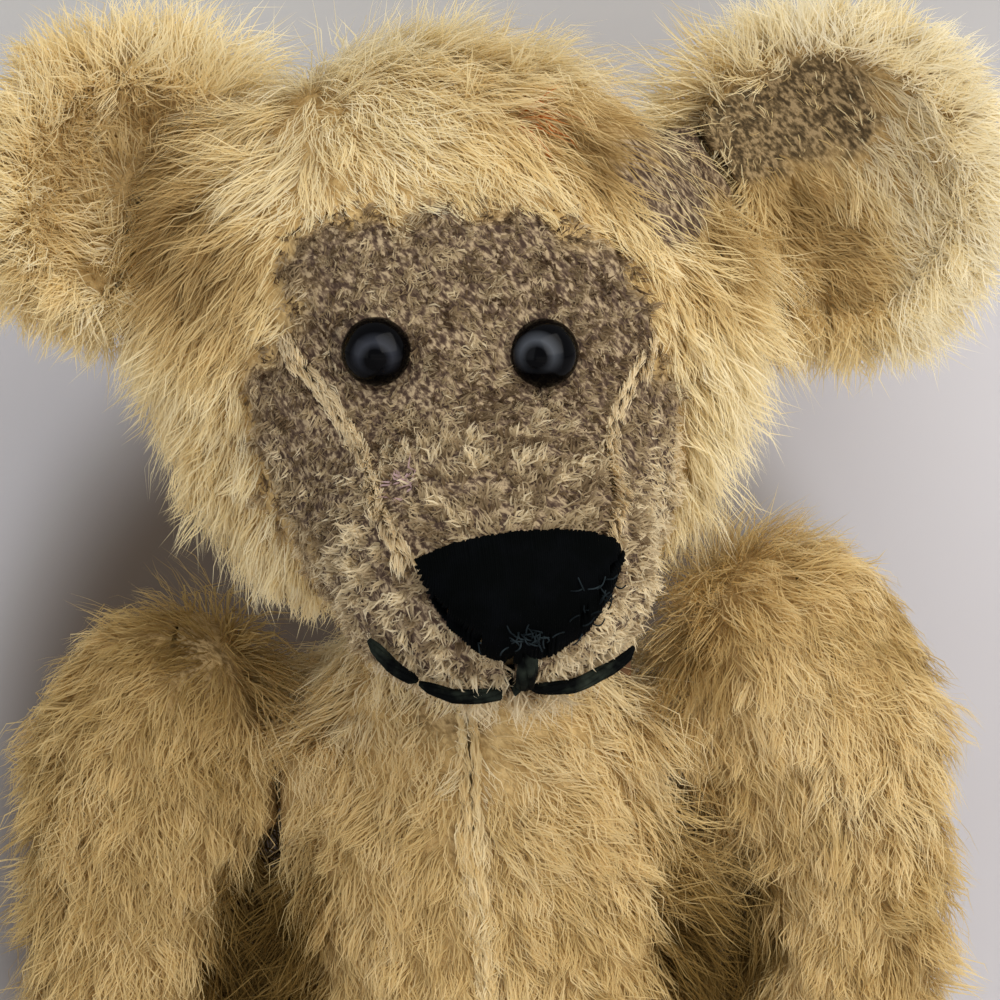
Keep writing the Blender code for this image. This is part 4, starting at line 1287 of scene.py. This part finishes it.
def comb_torso(pile, seams):
    """Swept outwards from the middle seam on the chest, and downwards on the belly."""
    across, _, height = (pile.mm - NECK / MM).T
    gap, along = seams.near(pile.roots)
    side = np.where(across > -1.5, 1.0, -1.0)
    fall = each(0.15 * side, -0.1, -1.0)
    outward = each(side * (0.55 + 0.35 * side), -0.1, -0.55 - 0.1 * side)
    flow = blend(fall, outward, ease(height, -45.0, -12.0)) + 1.1 * pile.swirl(4.5, 53)
    ridge = 1.0 - ease(gap, 0.5, 1.3)
    pile.flow = blend(flow, 2.0 * along, ridge)
    bald = chest_worn(pile.roots) * (gap > 0.5)
    broad = pile.noise(6.5, 51)
    grain = pile.noise(2.0, 52)
    pile.length = (4.0 + 1.6 * broad) * (1.0 - 0.55 * bald) * (1.0 - 0.25 * ridge)
    pile.lift = 0.34 + 0.3 * grain
    pile.brush(droop=0.4)
    # Painted light: the chest is paler just below the neck, against the head's shadow.
    pile.tone = (0.46 + 0.26 * broad + 0.18 * grain + 0.29 * ridge - 0.15 * bald
                 + 0.26 * ease(height, -18.0, -6.0))
    pile.tone = np.clip(pile.tone, 0.04, 0.96)
    pile.keep = (1.0 - 0.7 * bald) * (1.0 - 0.6 * worn(pile.roots, 57))
    mat_down(pile)
    fill_flank(pile)


def build_torso():
    backing = backing_finish("body_backing", WORN_CHEST)
    hair = hair_finish("body_mohair", BODY_TONES)
    others = surface_of(*[node for body, nodes in CLOTH_OF.items() if body != "torso"
                          for node in nodes])
    core = surface_of("body_stuffing")
    skins = [Skin(node, "torso", "body_mohair", core, lambda points: PILE_DEPTH,
                  lambda points: np.maximum(chest_worn(points), worn(points, 57)), others)
             for node in CLOTH_OF["torso"]]
    seams = Seams(skins)
    for skin in skins:
        grow_coat(skin, lambda pile: comb_torso(pile, seams), hair)
        pile = skin.scatter(WELT_DENSITY)
        comb_welt(pile, seams, 1.3, 0.7)
        pile.keep *= 0.7 * pile.seen
        pile.length += 0.8
        pile.grow("welt", 2, hair)
        skin.finish(backing)


def comb_arm(pile, side):
    """Down the arm, and outwards over the shoulder."""
    sign = SIGNS[side]
    shoulder = ease(pile.mm[:, 2], 78.0, 94.0)
    off_neck = ease(np.abs(pile.mm[:, 0] - NECK[0] / MM), 26.0, 37.0)
    crest = shoulder * ease(pile.out[:, 2], -0.1, 0.5) * (1.0 - off_neck)
    corner = shoulder * off_neck
    pile.flow = (np.outer(1.0 - 0.7 * crest, (0.12 * sign, -0.1, -1.0))
                 + np.outer(corner, (0.55 * sign, -0.1, 0.35))
                 + np.outer(crest, (0.5 * sign, -0.2, 0.0)) + 0.8 * pile.swirl(4.5, 63))
    broad = pile.noise(6.0, 61)
    grain = pile.noise(2.0, 62)
    outer = ease(sign * pile.out[:, 0], 0.1, 0.7) * (1.0 - shoulder)
    # Painted shade: the bear's right arm is darker all over, and each shoulder's crest a little
    # darker.
    painted_arm_shade = 0.12 if side == "right" else 0.0
    pile.unruly *= 1.0 - 0.6 * crest
    pile.length = 4.2 + 1.6 * broad + 1.6 * crest + 1.8 * outer - 0.6 * corner
    pile.lift = 0.32 + 0.2 * grain + 0.16 * crest + 0.15 * outer - 0.1 * corner
    pile.droop = 0.4 * (1.0 - crest)
    pile.tone = np.clip(0.50 + 0.32 * broad + 0.18 * grain - painted_arm_shade - 0.04 * crest, 0.04, 0.86)
    pile.keep = 1.0 - 0.65 * worn(pile.roots, 67)
    mat_down(pile)
    fill_flank(pile)


def comb_leg(pile, side):
    """Along the leg towards the foot."""
    pile.flow = 0.9 * pile.swirl(4.5, 73) + (0.15 * SIGNS[side], -1.0, -0.35)
    broad = pile.noise(6.0, 71)
    grain = pile.noise(2.0, 72)
    pile.length = 3.6 + 1.4 * broad
    pile.lift = 0.34 + 0.3 * grain
    pile.brush(droop=0.3, lock=1.4, pull=0.6)
    pile.tone = np.clip(0.42 + 0.30 * broad + 0.28 * grain, 0.04, 0.96)
    pile.keep = 1.0 - 0.65 * worn(pile.roots, 77)


def build_limbs():
    backing = backing_finish("limb_backing", WORN_CHEST)
    hair = hair_finish("limb_mohair", BODY_TONES)
    felt = felt_finish("worn_felt")
    torso = surface_of(*CLOTH_OF["torso"])
    for kind, comb, pad, seed in (("arm", comb_arm, "paw_pad", 67),
                                  ("leg", comb_leg, "foot_pad", 77)):
        for side in ("left", "right"):
            core = surface_of(f"{kind}_stuffing_{side}")
            felt_pad = surface_of(f"{pad}_{side}")
            depth = lambda points: FELT_DEPTH + (PILE_DEPTH - FELT_DEPTH) * ease(
                distances(felt_pad, points), 1.0, 5.0)
            for node in CLOTH_OF[f"{kind}_{side}"]:
                is_felt = node.startswith(pad)
                skin = Skin(node, f"{kind}_{side}", "felt" if is_felt else "body_mohair", core,
                            depth, lambda points: worn(points, seed), torso,
                            levels=2 if is_felt else 1)
                if not is_felt:
                    grow_coat(skin, lambda pile: comb(pile, side), hair)
                skin.finish(felt if is_felt else backing)


def dress_hidden_parts():
    """Better finishes for what the bear holds inside."""
    looks = {
        "stuffing": plain_finish("wood_wool", (150, 122, 78), (202, 176, 124), 900.0, 0.9),
        "disc": plain_finish("hardboard", (78, 52, 32), (112, 80, 50), 500.0, 0.8),
        "washer": plain_finish("steel", (120, 118, 114), (168, 166, 162), 700.0, 0.4, 1.0),
    }
    looks["cotter_pin"] = looks["washer"]
    for name, item in NODES.items():
        for part, look in looks.items():
            if part in name:
                for slot in item.material_slots:
                    slot.material = look


# ---------------------------------------------------------------- camera, light and stage

def aim(item, offset):
    """Put a camera or a lamp at an offset from the bear's face, looking at it."""
    item.location = Vector(VIEW_TARGET) + Vector(offset)
    item.rotation_euler = (-Vector(offset)).to_track_quat("-Z", "Y").to_euler()


def make_camera():
    data = bpy.data.cameras.new("camera")
    data.lens = LENS_MM
    data.sensor_width = 36.0
    data.clip_start = 0.01
    camera = add_object("camera", data)
    back = Vector((0.0, -math.cos(VIEW_TILT), math.sin(VIEW_TILT)))
    aim(camera, back * VIEW_DISTANCE)
    bpy.context.scene.camera = camera


def make_lamp(name, offset, size, energy, colour):
    """A square lamp that shines at the bear's face from an offset."""
    data = bpy.data.lights.new(name, "AREA")
    data.size = size
    data.energy = energy
    data.color = colour
    aim(add_object(name, data), offset)


def make_world():
    """Cool light from all round, behind which the camera sees plain card."""
    world = bpy.data.worlds.new("studio")
    bpy.context.scene.world = world
    world.use_nodes = True
    nodes, links = world.node_tree.nodes, world.node_tree.links
    light = nodes["Background"]
    light.inputs["Color"].default_value = (0.93, 0.95, 1.0, 1.0)
    light.inputs["Strength"].default_value = 0.62
    seen = nodes.new("ShaderNodeBackground")
    seen.inputs["Color"].default_value = tint(196, 192, 194)
    path = nodes.new("ShaderNodeLightPath")
    choice = nodes.new("ShaderNodeMixShader")
    for output, socket in ((path.outputs["Is Camera Ray"], choice.inputs["Fac"]),
                           (light.outputs["Background"], choice.inputs[1]),
                           (seen.outputs["Background"], choice.inputs[2]),
                           (choice.outputs["Shader"], nodes["World Output"].inputs["Surface"])):
        links.new(output, socket)


def cast_shadow(finish):
    """A painted shadow: the soft shade the bear would throw on the card close behind it, down to
    its right.
    """
    across, up = SHADE_MIDDLE
    oval = finish.add("Mapping", {
        "Vector": finish.place(), "Location": (-across, -BACKDROP_BEHIND, -up / SHADE_TALL),
        "Scale": (1.0, 1.0, 1.0 / SHADE_TALL)})
    reach = finish.add("VectorMath", {0: oval.outputs["Vector"]}, operation="LENGTH")
    edge = finish.share(reach.outputs["Value"], SHADE_INNER, SHADE_OUTER,
                        interpolation_type="SMOOTHSTEP")
    return finish.ramp(edge, [
        (0.0, (0.26, 0.21, 0.16, 1.0)), (0.5, (0.62, 0.59, 0.55, 1.0)), (1.0, WHITE)])


def backdrop_finish(name, upright):
    """Pale lavender-grey card, painted darker higher up and to the left as shade; the upright
    one holds a painted shadow, and is clear from behind.
    """
    finish = Finish(name)
    mottle = finish.noise(14.0, 3.0, 0.5)
    card = finish.tints(mottle, [(0.3, (198, 195, 198)), (0.7, (205, 203, 206))])
    # Painted shade: darker higher up the card and towards its left.
    painted_top_shade = finish.ramp(finish.share(finish.axis("Z"), 0.110, 0.175),
                       [(0.0, WHITE), (1.0, (0.58, 0.59, 0.54, 1.0))])
    side = finish.ramp(finish.share(finish.axis("X"), -0.07, 0.06),
                       [(0.0, (0.92, 0.92, 0.90, 1.0)), (1.0, WHITE)])
    colour = finish.multiply(finish.multiply(card, painted_top_shade), side)
    if upright:
        colour = finish.multiply(colour, cast_shadow(finish))
        clear = finish.add("BsdfTransparent")
        finish.join(clear, finish.add("NewGeometry").outputs["Backfacing"])
    finish.set(colour, Roughness=0.95, Specular_IOR_Level=0.1)
    return finish.material


def make_card(name, width, height, place, material):
    """A flat card on the stage."""
    work = bmesh.new()
    bmesh.ops.create_grid(work, x_segments=1, y_segments=1, size=0.5)
    bmesh.ops.scale(work, verts=work.verts[:], vec=(width, height, 1.0))
    work.transform(place)
    item = as_object(name, work)
    item.data.materials.append(material)


def make_stage():
    bpy.context.scene.view_settings.view_transform = "Standard"
    make_world()
    floor = Matrix.Translation((0.0, 0.0, -0.0006))
    make_card("floor", 3.0, 3.0, floor, backdrop_finish("floor_card", False))
    upright = Matrix.Rotation(math.radians(90.0), 4, "X")
    wall = Matrix.Translation((0.0, BACKDROP_BEHIND, 0.125)) @ upright
    make_card("backdrop", 0.26, 0.25, wall, backdrop_finish("backdrop_card", True))
    make_lamp("window", (0.34, -0.40, 0.38), 0.7, 5.2, (1.0, 0.97, 0.92))
    make_lamp("room", (-0.5, -0.45, 0.15), 0.6, 1.4, (0.92, 0.95, 1.0))
    make_lamp("table", (0.05, -0.5, -0.2), 0.5, 0.45, (1.0, 0.96, 0.9))


make_camera()
build_head()
build_ears()
build_eyes()
build_face_threads()
build_torso()
build_limbs()
dress_hidden_parts()
make_stage()
